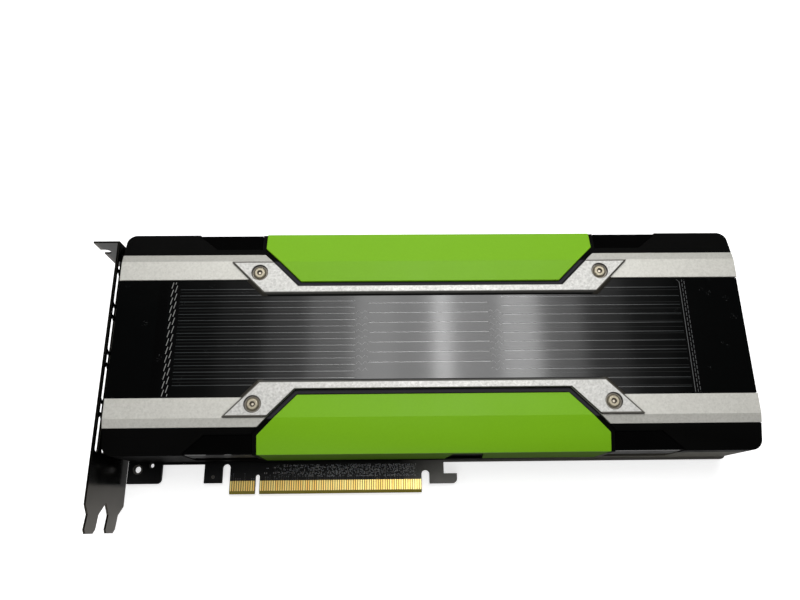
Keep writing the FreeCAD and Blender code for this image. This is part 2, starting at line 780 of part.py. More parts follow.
def base_plate():
    """A cast plate on posts over the board, with windows for the processor and the power parts."""
    body = new_body("base_plate")
    place(body, z="base_floor")
    outline = new_sketch(body, "base_outline", "XY_Plane")
    notch_x = "-base_left + base_notch"
    notch_y = "base_height - base_notch"
    add_outline(outline, [
        ("base_right", "-base_height"), ("base_right", "base_height"), (notch_x, "base_height"),
        (notch_x, notch_y), ("-base_left", notch_y), ("-base_left", "-(%s)" % notch_y),
        (notch_x, "-(%s)" % notch_y), (notch_x, "-base_height")])
    add_outline(outline, rectangle("window_centre - window / 2", "-window / 2",
                                   "window_centre + window / 2", "window / 2"))
    add_outline(outline, rectangle("power_window_left", "-(%s)" % notch_y, "power_window_right", notch_y))
    pad(body, outline, "base_gauge")
    posts = new_sketch(body, "base_posts", "XY_Plane", lift="board_face - base_floor")
    for x, y in base_screw_spots():
        add_outline(posts, square(x, y, "post"))
    pad(body, posts, "base_floor - board_face")
    lugs = new_sketch(body, "base_lugs", "XY_Plane", lift="board_face - base_floor")
    for side in ("", "-"):
        low = side + "bracket_screw_y - lug / 2"
        add_outline(lugs, rectangle("bracket_inner", low, "-base_left + lug / 2", low + " + lug"))
    pad(body, lugs, "base_top - board_face")
    bores = new_sketch(body, "base_bores", "XY_Plane", lift="board_face - base_floor")
    for x, y in base_screw_spots():
        add_circle(bores, x, y, "plate_screw_shank + 2 * fit")
    pocket(body, bores, "base_top - board_face", reverse=True)
    taps = new_sketch(body, "base_taps", "YZ_Plane", lift="bracket_inner")
    for side in ("", "-"):
        add_circle(taps, side + "bracket_screw_y", "bracket_screw_z - base_floor",
                   "bracket_screw_shank + fit / 2")
    pocket(body, taps, "bracket_screw_length", reverse=True)
    keep("base_plate", body)


def vapour_chamber():
    """A flat chamber over the base plate with a pedestal that reaches down to the die."""
    body = new_body("vapour_chamber")
    place(body, z="base_top")
    slab = new_sketch(body, "chamber_slab", "XY_Plane")
    add_outline(slab, rectangle("-chamber_left", "-chamber_height", "chamber_right", "chamber_height"))
    pad(body, slab, "chamber_rise")
    foot = new_sketch(body, "chamber_foot", "XY_Plane", lift="die_top + paste - base_top")
    half = "pedestal / 2"
    add_outline(foot, rectangle("window_centre - " + half, "-" + half, "window_centre + " + half, half))
    pad(body, foot, "base_top - die_top - paste")
    keep("vapour_chamber", body)


def fin_stack():
    """Upright fins along the air's way on one thin sheet, their tops following the roof."""
    body = new_body("fin_stack")
    place(body, z="chamber_top")
    sheet_outline = new_sketch(body, "fin_sheet", "XY_Plane")
    add_outline(sheet_outline, rectangle("-chamber_left", "-chamber_height", "chamber_right",
                                         "chamber_height"))
    pad(body, sheet_outline, "fin_gauge")
    first = new_sketch(body, "fin", "XY_Plane")
    add_outline(first, rectangle("-chamber_left", "-chamber_height", "chamber_right",
                                 "-chamber_height + fin_gauge"))
    fin = pad(body, first, "roof_under - chamber_top - fin_top_gap")
    row_of(body, [fin], "Y_Axis", "fin_pitch",
           "floor((2 * chamber_height - fin_gauge) / fin_pitch) + 1")
    shoulder = new_sketch(body, "fin_shoulder", "YZ_Plane")
    top = "roof_under - chamber_top - fin_top_gap"
    for side in ("", "-"):
        add_outline(shoulder, [
            (side + "crease_reach", top),
            (side + "(chamber_height + 1)", top + " - crease_slope * (chamber_height + 1 - crease_reach)"),
            (side + "(chamber_height + 1)", top + " + 1"), (side + "crease_reach", top + " + 1")])
    pocket(body, shoulder, "4 * chamber_left", both_ways=True)
    keep("fin_stack", body)


# ---------------------------------------------------------------- power inlet

def power_inlet():
    """Eight-way header lying on the board: a housing with two rows of four sockets, and its pins."""
    body = new_body("power_inlet_housing")
    place(body, y="inlet_y", z="board_face")
    block = new_sketch(body, "inlet_block", "XY_Plane")
    add_outline(block, rectangle("board_right - inlet_length", "-inlet_width / 2",
                                 "board_right", "inlet_width / 2"))
    pad(body, block, "inlet_rise")
    latch = new_sketch(body, "inlet_latch", "XY_Plane", lift="inlet_rise")
    add_outline(latch, rectangle("board_right - 2 * latch", "-latch / 2",
                                 "board_right - latch", "latch / 2"))
    pad(body, latch, "latch_rise")
    hole = new_sketch(body, "inlet_socket", "YZ_Plane", lift="board_right")
    low = "inlet_rise / 2 - socket_pitch / 2 - socket / 2"
    left = "-1.5 * socket_pitch - socket / 2"
    add_outline(hole, rectangle(left, low, left + " + socket", low + " + socket"))
    cut = pocket(body, hole, "socket_depth")
    grid_of(body, [cut], ("Y_Axis", "socket_pitch", "4"), ("Z_Axis", "socket_pitch", "2"))
    keep("power_inlet_housing", body)

    pins = new_body("power_inlet_pins", many=True)
    place(pins, x="board_right - socket_depth", y="inlet_y", z="board_face")
    pin = new_sketch(pins, "inlet_pin", "YZ_Plane")
    low = "inlet_rise / 2 - socket_pitch / 2 - pin / 2"
    left = "-1.5 * socket_pitch - pin / 2"
    add_outline(pin, rectangle(left, low, left + " + pin", low + " + pin"))
    first = pad(pins, pin, "pin_reach")
    grid_of(pins, [first], ("Y_Axis", "socket_pitch", "4"), ("Z_Axis", "socket_pitch", "2"))
    keep("power_inlet_pins", pins)


# ---------------------------------------------------------------- shroud

def hull(label, drop, margin, side):
    """A bar of the shroud's cross-section, let down by drop, longer than the shroud by margin."""
    body = new_body(label)
    section = new_sketch(body, label + "_section", "YZ_Plane")
    level = "rail_level - %s" % drop
    half = "(%s)" % side
    low_edge = "%s - crease_slope * (%s - crease_reach)" % (level, half)
    add_outline(section, mirrored_up([("crease_reach", level), (half, low_edge), (half, "board_face")]))
    pad(body, section, "shroud_length + 2 * %s" % margin, both_ways=True)
    return body


def plan_prism(label, outlines, foot, top="rail_level + 5"):
    """Upright prisms over closed plan outlines."""
    body = new_body(label, many=True)
    sketch = new_sketch(body, label + "_plan", "XY_Plane", lift=foot)
    for outline in outlines:
        add_outline(sketch, outline)
    pad(body, sketch, "%s - (%s)" % (top, foot))
    return body


def flipped(points, along="", up=""):
    """Mirror images of plan points: a minus sign in along or up turns that axis over."""
    return [(along + "(%s)" % x, up + "(%s)" % y) for x, y in points]


def rail_plan(gap):
    """One rail: a strip along the shroud's edge that draws in to a narrow waist beside the insert."""
    inner = "(rail_inner + %s)" % gap
    waist = "(waist_rail + %s)" % gap
    outer = "(rail_outer - %s)" % gap
    slant = "(rail_slant + %s)" % gap
    low = "(insert_inner - border_width - seam - %s)" % gap
    half = [("half_length", outer), ("half_length", inner),
            ("waist_half + rail_inner - waist_rail", inner), ("waist_half", waist)]
    back = [("-waist_half", waist), ("-(waist_half + rail_inner - waist_rail)", inner),
            ("-half_length", inner), ("-half_length", outer)]
    slope = [("-(%s + %s)" % (slant, outer), outer), ("-(%s + %s)" % (slant, low), low),
             ("%s + %s" % (slant, low), low), ("%s + %s" % (slant, outer), outer)]
    return half + back + slope


def insert_plan(slant, inner, end):
    """An insert from above: straight inner edge, two 45 degree shoulders, straight ends."""
    return [("%s + %s" % (slant, inner), inner), (end, "%s - %s" % (end, slant)),
            (end, "half_height + 3"), ("-(%s)" % end, "half_height + 3"),
            ("-(%s)" % end, "%s - %s" % (end, slant)), ("-(%s + %s)" % (slant, inner), inner)]


def panel_plan(gap):
    """A glossy side panel from above: straight beside the insert, slanting at the corner cap."""
    return [("insert_end + border_width + %s" % gap, "panel_top + %s" % gap),
            ("panel_bend - %s" % gap, "panel_top + %s" % gap),
            ("panel_end - %s" % gap, "half_height - 1"), ("panel_end - %s" % gap, "half_height + 3"),
            ("insert_end + border_width + %s" % gap, "half_height + 3")]


def channel_plan():
    """Where the rails and the cover lie: the whole middle, less the two notches for the inserts."""
    slant = "(border_slant - seam)"
    low = "(insert_inner - border_width)"
    side = [("half_length + 2", "rail_outer"), ("%s + rail_outer" % slant, "rail_outer"),
            ("%s + %s" % (slant, low), low), ("-(%s + %s)" % (slant, low), low),
            ("-(%s + rail_outer)" % slant, "rail_outer"), ("-(half_length + 2)", "rail_outer")]
    return side + flipped(list(reversed(side)), up="-")


def shell_blank():
    """The moulded shell before its seats are sunk: walls, sloped roof, open ends, screw bosses."""
    body = new_body("shell_blank")
    section = new_sketch(body, "shell_section", "YZ_Plane")
    level = "rail_level - cap_drop"
    edge = level + " - slope_drop"
    add_outline(section, mirrored_up([("crease_reach", level), ("half_height", edge),
                                      ("half_height", "board_face")]))
    pad(body, section, "shroud_length", both_ways=True)
    fillet(body, upright_edges(body.Tip.Shape, [
        (along + "half_length", up + "half_height") for along in ("", "-") for up in ("", "-")]),
        "shroud_corner")
    cavity = new_sketch(body, "shell_cavity", "YZ_Plane")
    low_roof = "roof_under - crease_slope * (cavity_half - crease_reach)"
    add_outline(cavity, mirrored_up([("crease_reach", "roof_under"), ("cavity_half", low_roof),
                                     ("cavity_half", "board_face - 1")]))
    pocket(body, cavity, "shroud_length + 2", both_ways=True)
    under_roof = "seat_level - crease_slope * (plate_screw_rows - crease_reach) - roof / 2"
    for label, spots, foot, reach in (("corner", shroud_screw_spots(), "board_face", "shroud_screw_reach"),
                                      ("base", base_screw_spots(), "base_top", "base_screw_reach")):
        bosses = new_sketch(body, "shell_%s_bosses" % label, "XY_Plane", lift=foot)
        bores = new_sketch(body, "shell_%s_bores" % label, "XY_Plane", lift=foot)
        for x, y in spots:
            add_outline(bosses, square(x, y, "post"))
            add_circle(bores, x, y, "plate_screw_shank + fit / 2")
        pad(body, bosses, "%s - %s" % (under_roof, foot))
        pocket(body, bores, reach, reverse=True)
    return body


def shroud_shell(core):
    """The shell with full skin at the caps, sunk where rails, cover, inserts and panels lie."""
    outside = hull("shell_outside", "(-3)", "3", "half_height + 3")
    band = boolean("Cut", "skin_band", outside, core)
    seats = (
        plan_prism("skin_seats", [channel_plan()], "board_face + 1"),
        plan_prism("insert_seats", [
            flipped(insert_plan("(insert_slant + 1.414 * seam)", "(insert_inner - seam)",
                                "(insert_end + seam)"), up=up)
            for up in ("", "-")], "insert_foot - seam"),
        plan_prism("panel_seats", [flipped(panel_plan("(-seam)"), along, up)
                                   for along in ("", "-") for up in ("", "-")], "recess_foot"))
    shape = shell_blank()
    for number, tool in enumerate(seats, start=1):
        sunk = boolean("Common", "sunk_%d" % number, band, tool)
        shape = boolean("Cut", "shell_sunk_%d" % number, shape, sunk)
    zone = plan_prism("border_zone", [flipped(insert_plan("border_slant", "(insert_inner - border_width)",
                                                          "(insert_end + border_width)"), up=up)
                                      for up in ("", "-")], "insert_foot")
    lid = hull("border_hull", "border_drop", "3", "half_height")
    over = boolean("Cut", "border_over", zone, lid)
    keep("shroud_shell", boolean("Cut", "shell_bordered", shape, over))


def thumb_notch():
    """The slanted cut-out in the lower insert's side wall."""
    body = new_body("thumb_notch")
    sketch = new_sketch(body, "thumb_outline", "XZ_Plane", lift="half_height - wall_skin - fit")
    add_outline(sketch, [("thumb_left", "insert_foot - 1"), ("thumb_right", "insert_foot - 1"),
                         ("thumb_right - thumb_slant", "thumb_top"),
                         ("thumb_left + thumb_slant", "thumb_top")])
    pad(body, sketch, "wall_skin + 1")
    return body


def skin_piece(name, outline, foot, outer, core):
    """A sheet of the skin: a plan outline carried down from the outer form to the core."""
    prism = plan_prism(name + "_prism", [outline], foot)
    trimmed = boolean("Common", name + "_trimmed", prism, outer)
    return boolean("Cut", name + "_sheet", trimmed, core)


def wing_bores():
    """Room for the heads of the four wing screws and the holes for their shanks."""
    body = new_body("wing_bores", many=True)
    spots = [(along + "screw_x", up + "screw_y") for along in ("", "-") for up in ("", "-")]
    for label, foot, top, bore in (
            ("head", "rail_level", "wing_level + 1", "screw_pocket"),
            ("shank", "roof_under", "rail_level", "screw_shank + 2 * fit")):
        sketch = new_sketch(body, "wing_bore_" + label, "XY_Plane", lift=foot)
        for x, y in spots:
            add_circle(sketch, x, y, bore)
        pad(body, sketch, "%s - (%s)" % (top, foot))
    return body


def wing_plate(name, up, bores):
    """A plate on the rail: two pointed tabs, a narrow strip between them and a sloped inner skirt."""
    body = new_body(name + "_blank")
    plate = new_sketch(body, name + "_outline", "XY_Plane", lift="rail_level")
    strip = "(insert_inner - border_width - seam)"
    slant = "(rail_slant + seam)"
    side = [("wing_tip", "wing_top"), ("%s + wing_top" % slant, "wing_top"),
            ("%s + %s" % (slant, strip), strip), ("-(%s + %s)" % (slant, strip), strip),
            ("-(%s + wing_top)" % slant, "wing_top"), ("-wing_tip", "wing_top"),
            ("-(wing_slant + wing_inner)", "wing_inner"), ("wing_slant + wing_inner", "wing_inner")]
    add_outline(plate, flipped(side, up=up))
    pad(body, plate, "wing_rise")
    rings = []
    for part, level, edge, out in (("foot", "cover_level", "(wing_inner - skirt_run)", "1.414 * skirt_run"),
                                   ("top", "wing_level", "wing_inner", "0")):
        ring = new_sketch(body, "%s_skirt_%s" % (name, part), "XY_Plane", lift=level)
        slope = "(wing_slant + %s)" % out
        half = [("%s + %s" % (slope, edge), edge), ("%s + rail_inner" % slope, "rail_inner"),
                ("waist_half + rail_inner - waist_rail", "rail_inner"), ("waist_half", "waist_rail")]
        other = [("-(%s)" % x, y) for x, y in reversed(half)]
        add_outline(ring, flipped(half + other, up=up))
        rings.append(ring)
    loft = body.newObject("PartDesign::AdditiveLoft", name + "_skirt")
    loft.Profile = rings[0]
    loft.Sections = rings[1:]
    loft.Ruled = True
    doc.recompute()
    keep(name, boolean("Cut", name + "_bored", body, bores))


def wing_screws():
    """Four button-head screws with a hexagon socket."""
    body = new_body("wing_screws", many=True)
    profile = new_sketch(body, "wing_screw_profile", "XZ_Plane", lift="-screw_y")
    tip = "rail_level - screw_length"
    top = "rail_level + screw_head_rise"
    add_outline(profile, [
        ("screw_x", tip), ("screw_x + screw_shank / 2", tip), ("screw_x + screw_shank / 2", "rail_level"),
        ("screw_x + screw_head / 2", "rail_level"), ("screw_x + screw_head_top / 2", top),
        ("screw_x", top)])
    turned = body.newObject("PartDesign::Revolution", "wing_screw")
    turned.Profile = profile
    axis = new_sketch(body, "wing_screw_axis", "XZ_Plane", lift="-screw_y")
    line = axis.addGeometry(Part.LineSegment(Vector(amount("screw_x"), 0, 0),
                                             Vector(amount("screw_x"), amount("rail_level"), 0)), False)
    tie_point(axis, line, 1, "screw_x", "0")
    tie_point(axis, line, 2, "screw_x", "rail_level")
    turned.ReferenceAxis = (axis, ["Edge1"])
    doc.recompute()
    socket = new_sketch(body, "wing_screw_socket", "XY_Plane", lift=top)
    add_outline(socket, hexagon("screw_x", "screw_y", "screw_socket"))
    sunk = pocket(body, socket, "screw_socket_depth")
    four_corners(body, [turned, sunk])
    keep("wing_screws", body)


def cover_panel():
    """The glossy cover between the rails, with three fields of fine grooves."""
    body = new_body("cover_panel")
    outline = new_sketch(body, "cover_outline", "XY_Plane", lift="seat_level")
    edge = "(rail_inner - seam)"
    waist = "(waist_rail - seam)"
    side = [("half_length", edge), ("waist_half + rail_inner - waist_rail", edge), ("waist_half", waist),
            ("-waist_half", waist), ("-(waist_half + rail_inner - waist_rail)", edge),
            ("-half_length", edge)]
    add_outline(outline, side + flipped(list(reversed(side)), up="-"))
    pad(body, outline, "cover_level - seat_level")
    for zone, start, end in (("left", "-stripe_half", "left_zone_end"),
                             ("middle", "middle_zone_start", "middle_zone_end"),
                             ("right", "right_zone_start", "stripe_half")):
        groove = new_sketch(body, "cover_groove_" + zone, "XY_Plane", lift="cover_level")
        low = "-%s_zone_low - stripe_width / 2" % zone
        add_outline(groove, rectangle(start, low, end, low + " + stripe_width"))
        cut = pocket(body, groove, "stripe_depth")
        row_of(body, [cut], "Y_Axis", zone + "_zone_pitch", zone + "_zone_lines")
    keep("cover_panel", body)


def build_shroud():
    core = hull("core", "skin", "3", "half_height - wall_skin")
    full = hull("full_hull", "0", "3", "half_height")
    sunk = hull("sunk_hull", "gloss_drop", "3", "half_height - gloss_drop / 2")
    bores = wing_bores()
    shroud_shell(core)
    for side, up in (("upper", ""), ("lower", "-")):
        rail = skin_piece("rail_" + side, flipped(rail_plan("seam"), up=up), "board_face + 2", full, core)
        keep("silver_rail_" + side, boolean("Cut", "rail_%s_bored" % side, rail, bores))
        insert = skin_piece("insert_" + side, flipped(insert_plan("insert_slant", "insert_inner",
                                                                  "insert_end"), up=up),
                            "insert_foot", full, core)
        if side == "lower":
            insert = boolean("Cut", "insert_lower_notched", insert, thumb_notch())
        keep("green_insert_" + side, insert)
        for end, along in (("left", "-"), ("right", "")):
            name = "%s_%s" % (side, end)
            panel = skin_piece("panel_" + name, flipped(panel_plan("0"), along, up), "panel_foot", sunk, core)
            keep("glossy_panel_" + name, panel)
        wing_plate("wing_plate_" + side, up, bores)
    cover_panel()
    wing_screws()


# ---------------------------------------------------------------- bracket

def bracket_outline():
    """The plate from the side, with its two tongues, as a prism."""
    body = new_body("bracket_outline")
    plate = new_sketch(body, "bracket_plan", "YZ_Plane")
    outline = [("bracket_top", "bracket_near"), ("bracket_top", "bracket_far"),
               ("-taper_start", "bracket_far")]
    for rows in ("slot_pitch", "0"):
        near = "(tongue_near + %s - tongue_width / 2)" % rows
        far = "(tongue_near + %s + tongue_width / 2)" % rows
        outline += [("-taper_end", far), ("-tongue_tip + tongue_corner", far),
                    ("-tongue_tip", far + " - tongue_corner"), ("-tongue_tip", near + " + tongue_corner"),
                    ("-tongue_tip + tongue_corner", near), ("-taper_end", near)]
        if rows == "slot_pitch":
            outline.append(("-notch_apex", "tongue_near + slot_pitch / 2"))
    outline.append(("-taper_start", "bracket_near"))
    add_outline(plate, outline)
    pad(body, plate, "2 * shroud_length", both_ways=True)
    return body


def mounting_bracket():
    """The dual-slot bracket: a folded sheet with vents, two screw slots and outward leaning tongues."""
    body = new_body("bracket_sheet")
    fold = new_sketch(body, "bracket_fold", "XY_Plane", lift="bracket_near")
    mouth = "bracket_face - flange_reach"
    add_outline(fold, [
        (mouth, "bracket_top"), (mouth, "bracket_top - bracket_gauge"),
        ("bracket_face", "bracket_top - bracket_gauge"), ("bracket_face", "-taper_start"),
        ("bracket_face - tongue_lean", "-tongue_tip"), ("bracket_inner - tongue_lean", "-tongue_tip"),
        ("bracket_inner", "-taper_start"), ("bracket_inner", "bracket_top")])
    pad(body, fold, "bracket_far - bracket_near")
    slots = new_sketch(body, "flange_slots", "XZ_Plane", lift="-bracket_top")
    for rows in ("slot_pitch", "0"):
        middle = "(flange_slot_near + %s)" % rows
        add_slot(slots, mouth + " - flange_slot", mouth + " + flange_slot_depth", middle, "flange_slot")
    pocket(body, slots, "bracket_gauge", reverse=True)
    vents = new_sketch(body, "bracket_vents", "YZ_Plane", lift="bracket_inner")
    add_outline(vents, clipped("vent_start", "vent_first_row - vent_width / 2", "vent_start + vent_long",
                               "vent_first_row + vent_width / 2", "vent_corner"))
    short = "vent_start + vent_long + vent_web"
    add_outline(vents, rectangle(short, "vent_first_row - vent_short_width / 2", short + " + vent_short",
                                 "vent_first_row + vent_short_width / 2"))
    cut = pocket(body, vents, "2 * bracket_gauge")
    grid_of(body, [cut], ("Y_Axis", "vent_period", "vent_columns"), ("Z_Axis", "vent_row_pitch", "vent_rows"))
    holes = new_sketch(body, "bracket_holes", "YZ_Plane", lift="bracket_inner")
    for side in ("", "-"):
        add_circle(holes, side + "bracket_screw_y", "bracket_screw_z", "bracket_screw_shank + 2 * fit")
    pocket(body, holes, "2 * bracket_gauge")
    keep("mounting_bracket", boolean("Common", "bracket_cut", body, bracket_outline()))


def bracket_screws():
    """Two pan-head screws through the bracket into the base plate's lugs."""
    body = new_body("bracket_screws", many=True)
    heads = new_sketch(body, "bracket_screw_heads", "YZ_Plane", lift="bracket_face - bracket_screw_rise")
    shanks = new_sketch(body, "bracket_screw_shanks", "YZ_Plane", lift="bracket_face")
    slots = new_sketch(body, "bracket_screw_slots", "YZ_Plane", lift="bracket_face - bracket_screw_rise")
    for side in ("", "-"):
        middle = side + "bracket_screw_y"
        add_circle(heads, middle, "bracket_screw_z", "bracket_screw_head")
        add_circle(shanks, middle, "bracket_screw_z", "bracket_screw_shank")
        add_outline(slots, rectangle(middle + " - driver_reach", "bracket_screw_z - driver_half",
                                     middle + " + driver_reach", "bracket_screw_z + driver_half"))
    pad(body, heads, "bracket_screw_rise")
    pad(body, shanks, "bracket_screw_length - tip_clearance")
    pocket(body, slots, "bracket_screw_rise / 2", reverse=True)
    keep("bracket_screws", body)


def check():
    """Stops when an object failed or a sub-part is empty or broken."""
    broken = [item.Label for item in doc.Objects if set(item.State) & {"Invalid", "Error"}]
    for name, thing in nodes.items():
        if thing.Shape.isNull() or not thing.Shape.isValid() or not thing.Shape.Solids:
            broken.append(name)
    if broken:
        raise RuntimeError("failed: " + ", ".join(broken))


def main():
    fill_sheet()
    circuit_board()
    edge_contacts("edge_contacts_front", "board_face")
    edge_contacts("edge_contacts_back", "board_underside - contact_film")
    coupling_capacitors()
    backplate()
    flat_screws("backplate_screws", base_screw_spots(), "base_top + base_screw_reach - tip_clearance")
    flat_screws("shroud_screws", shroud_screw_spots(), "board_face + shroud_screw_reach - tip_clearance")
    processor()
    memory()
    power_parts()
    base_plate()
    vapour_chamber()
    fin_stack()
    power_inlet()
    build_shroud()
    mounting_bracket()
    bracket_screws()
    doc.recompute()
    check()
    os.makedirs("parts", exist_ok=True)
    for name, thing in nodes.items():
        print("%-26s solids %3d  volume %10.1f" % (name, len(thing.Shape.Solids), thing.Shape.Volume))
        thing.Shape.exportStep("parts/%s.step" % name)


main()
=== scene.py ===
import json
import math
import random

import bmesh
import bpy
from mathutils import Matrix, Vector

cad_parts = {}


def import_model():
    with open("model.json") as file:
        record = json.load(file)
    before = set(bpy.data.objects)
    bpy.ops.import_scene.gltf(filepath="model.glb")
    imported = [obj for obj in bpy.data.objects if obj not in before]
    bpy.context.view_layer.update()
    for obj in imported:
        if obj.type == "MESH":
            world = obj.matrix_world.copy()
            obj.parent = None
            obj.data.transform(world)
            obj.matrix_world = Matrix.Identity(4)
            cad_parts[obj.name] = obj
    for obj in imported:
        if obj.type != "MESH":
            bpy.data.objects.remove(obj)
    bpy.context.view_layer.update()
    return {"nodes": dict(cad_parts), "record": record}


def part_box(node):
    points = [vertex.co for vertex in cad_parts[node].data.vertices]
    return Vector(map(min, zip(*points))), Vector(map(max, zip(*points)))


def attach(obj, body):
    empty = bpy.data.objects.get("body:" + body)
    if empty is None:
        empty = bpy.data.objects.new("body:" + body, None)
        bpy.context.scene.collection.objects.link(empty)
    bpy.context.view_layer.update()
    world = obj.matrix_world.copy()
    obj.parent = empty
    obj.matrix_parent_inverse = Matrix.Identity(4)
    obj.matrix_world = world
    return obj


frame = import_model()
MM = 0.001

# Levels and places that the materials and the extra pieces share with the CAD, in millimetres.
BOARD_TOP = 4.17
BOARD_LOW_EDGE = -48.9
FINGER_END = -61.8          # outer edge of the card-edge fingers
FINGER_MIDDLE = -46.2       # middle of both fingers, along the card
FINGER_REACH = 42.3         # a little over half their length together
CONTACT_TOP = -56.15        # inner ends of the contacts
CONTACT_PITCH = 1.0
CONTACT_WIDTH = 0.7
CONTACT_FIELDS = ((-88.1, 11), (-75.05, 71))    # left end and number of contacts on each finger
CAPACITOR_START = -73.3     # about the left end of the row of larger capacitors above the contacts
CAPACITOR_EDGE = -53.3      # the lower edge of that row
CAPACITOR_PITCH = 4.0
CAPACITOR_LENGTH = 1.2
STRIP_ROWS = (-49.9, -50.8, -51.7, -52.6, -54.4)
LOBE_LEFT = -133.2          # left end of the board
TAB_RING = (-95.7, -54.4)   # small ring on the tab left of the contacts
COVER_LEVEL = 37.0
RAIL_LEVEL = 37.7
BORDER_LEVEL = RAIL_LEVEL - 0.9     # top of the shell's border round the inserts
WING_EDGE_LEVEL = 38.68     # below it lies the wing plates' machined skirt
WALL_TOP = 33.6             # just under the foot of the inserts' slope
GROOVE_PITCH = 2.77
FIRST_GROOVE = -20.22
SCREW_X = 73.4
SCREW_Y = 28.3


# ---------------------------------------------------------------- node materials

class Material:
    """A node material around one Principled shader, with short calls for the nodes used here."""

    def __init__(self, name, **sockets):
        self.data = bpy.data.materials.new(name)
        self.data.use_nodes = True
        self.tree = self.data.node_tree
        self.tree.nodes.clear()
        self.shader = self.tree.nodes.new("ShaderNodeBsdfPrincipled")
        output = self.tree.nodes.new("ShaderNodeOutputMaterial")
        self.tree.links.new(self.shader.outputs["BSDF"], output.inputs["Surface"])
        self.place = self.node("ShaderNodeTexCoord").outputs["Object"]
        for socket, value in sockets.items():
            self.set(self.shader, socket.replace("_", " "), value)

    def node(self, kind, settings=None, **sockets):
        made = self.tree.nodes.new(kind)
        for name, value in (settings or {}).items():
            setattr(made, name, value)
        for socket, value in sockets.items():
            self.set(made, socket.replace("_", " "), value)
        return made

    def put(self, slot, value):
        """Links an output to a socket, or writes a plain value into it."""
        if isinstance(value, bpy.types.NodeSocket):
            self.tree.links.new(value, slot)
        elif slot.type == "RGBA" and len(value) == 3:
            slot.default_value = (*value, 1.0)
        else:
            slot.default_value = value

    def set(self, node, socket, value):
        self.put(node.inputs[socket], value)

    def math(self, operation, first, second=0.0):
        made = self.node("ShaderNodeMath", {"operation": operation})
        for slot, value in zip(made.inputs, (first, second)):
            self.put(slot, value)
        return made.outputs[0]

    def times(self, first, second):
        return self.math("MULTIPLY", first, second)

    def plus(self, first, second):
        return self.math("ADD", first, second)

    def minus(self, first, second):
        return self.math("SUBTRACT", first, second)

    def size(self, value):
        """The value without its sign."""
        return self.math("ABSOLUTE", value)

    def axis(self, letter):
        """One coordinate in millimetres."""
        part = self.node("ShaderNodeSeparateXYZ", Vector=self.place).outputs[letter]
        return self.math("DIVIDE", part, MM)

    def noise(self, size, detail=3.0, roughness=0.55, stretch=(1, 1, 1)):
        """Noise whose main grain is about size metres wide."""
        scaled = self.node("ShaderNodeVectorMath", {"operation": "MULTIPLY"})
        self.put(scaled.inputs[0], self.place)
        scaled.inputs[1].default_value = stretch
        return self.node("ShaderNodeTexNoise", Vector=scaled.outputs[0], Scale=1.0 / size,
                         Detail=detail, Roughness=roughness).outputs["Fac"]

    def flecks(self, size):
        """Cells about size metres wide, each with its own random grey."""
        cells = self.node("ShaderNodeTexVoronoi", Vector=self.place, Scale=1.0 / size)
        return self.node("ShaderNodeSeparateColor", Color=cells.outputs["Color"]).outputs["Red"]

    def ramp(self, value, low, high, to_low=0.0, to_high=1.0):
        return self.node("ShaderNodeMapRange", Value=value, From_Min=low, From_Max=high,
                         To_Min=to_low, To_Max=to_high).outputs["Result"]

    def band(self, value, centre, half, soft=0.05):
        """1 where value lies within half of centre, with soft edges."""
        away = self.size(self.minus(value, centre))
        return self.ramp(away, half + soft, half - soft)

    def both(self, *shares):
        """A mask where all the masks meet."""
        total = shares[0]
        for share in shares[1:]:
            total = self.times(total, share)
        return total

    def either(self, *shares):
        """A mask where any of the masks is."""
        total = shares[0]
        for share in shares[1:]:
            total = self.math("MAXIMUM", total, share)
        return total

    def stripes(self, value, start, pitch, half, soft=0.05):
        """1 on lines that repeat at the pitch."""
        turn = self.math("PINGPONG", self.minus(value, start), pitch / 2)
        return self.ramp(turn, half + soft, half - soft)

    def mix(self, share, first, second):
        """A colour between first and second."""
        made = self.tree.nodes.new("ShaderNodeMix")
        made.data_type = "RGBA"
        self.put(made.inputs["Factor"], share)
        for slot, value in ((made.inputs[6], first), (made.inputs[7], second)):
            self.put(slot, value)
        return made.outputs[2]

    def colour(self, value):
        self.set(self.shader, "Base Color", value)

    def bump(self, height, distance):
        made = self.node("ShaderNodeBump", Height=height, Distance=distance, Strength=1.0)
        self.set(self.shader, "Normal", made.outputs["Normal"])

    def open_air(self, reach, low, high, to_low=0.0, to_high=1.0):
        """A mask from how open the surface is within reach metres, such as 0 in a corner and 1 on a flat."""
        probe = self.node("ShaderNodeAmbientOcclusion", {"samples": 8}, Distance=reach)
        return self.ramp(probe.outputs["AO"], low, high, to_low, to_high)


def uneven(material, colour, spread, size):
    """The colour, a little darker and lighter in soft clouds."""
    dark = [part * (1 - spread) for part in colour]
    light = [min(part * (1 + spread), 1.0) for part in colour]
    return material.mix(material.noise(size), dark, light)


def rough(material, middle, spread, size, more=None):
    """Roughness that wanders about its middle value, and what more adds to it."""
    patch = material.noise(size, detail=4.0)
    value = material.ramp(patch, 0.3, 0.7, middle - spread, middle + spread)
    if more is not None:
        value = material.plus(value, more)
    material.set(material.shader, "Roughness", value)


def grained(name, colour, roughness, grain, depth, spread=0.06, **sockets):
    """A surface with a fine even grain, such as moulded plastic or satin paint."""
    material = Material(name, **sockets)
    material.colour(uneven(material, colour, spread, 40 * grain))
    rough(material, roughness, 0.04, 24 * grain)
    material.bump(material.noise(grain, detail=2.0), depth)
    return material


def near_screws(material, reach, soft=0.15):
    """1 within reach millimetres of the axis of a wing screw."""
    x = material.minus(material.size(material.axis("X")), SCREW_X)
    y = material.minus(material.size(material.axis("Y")), SCREW_Y)
    far = material.math("SQRT", material.plus(material.math("POWER", x, 2.0), material.math("POWER", y, 2.0)))
    return material.ramp(far, reach + soft, reach - soft)


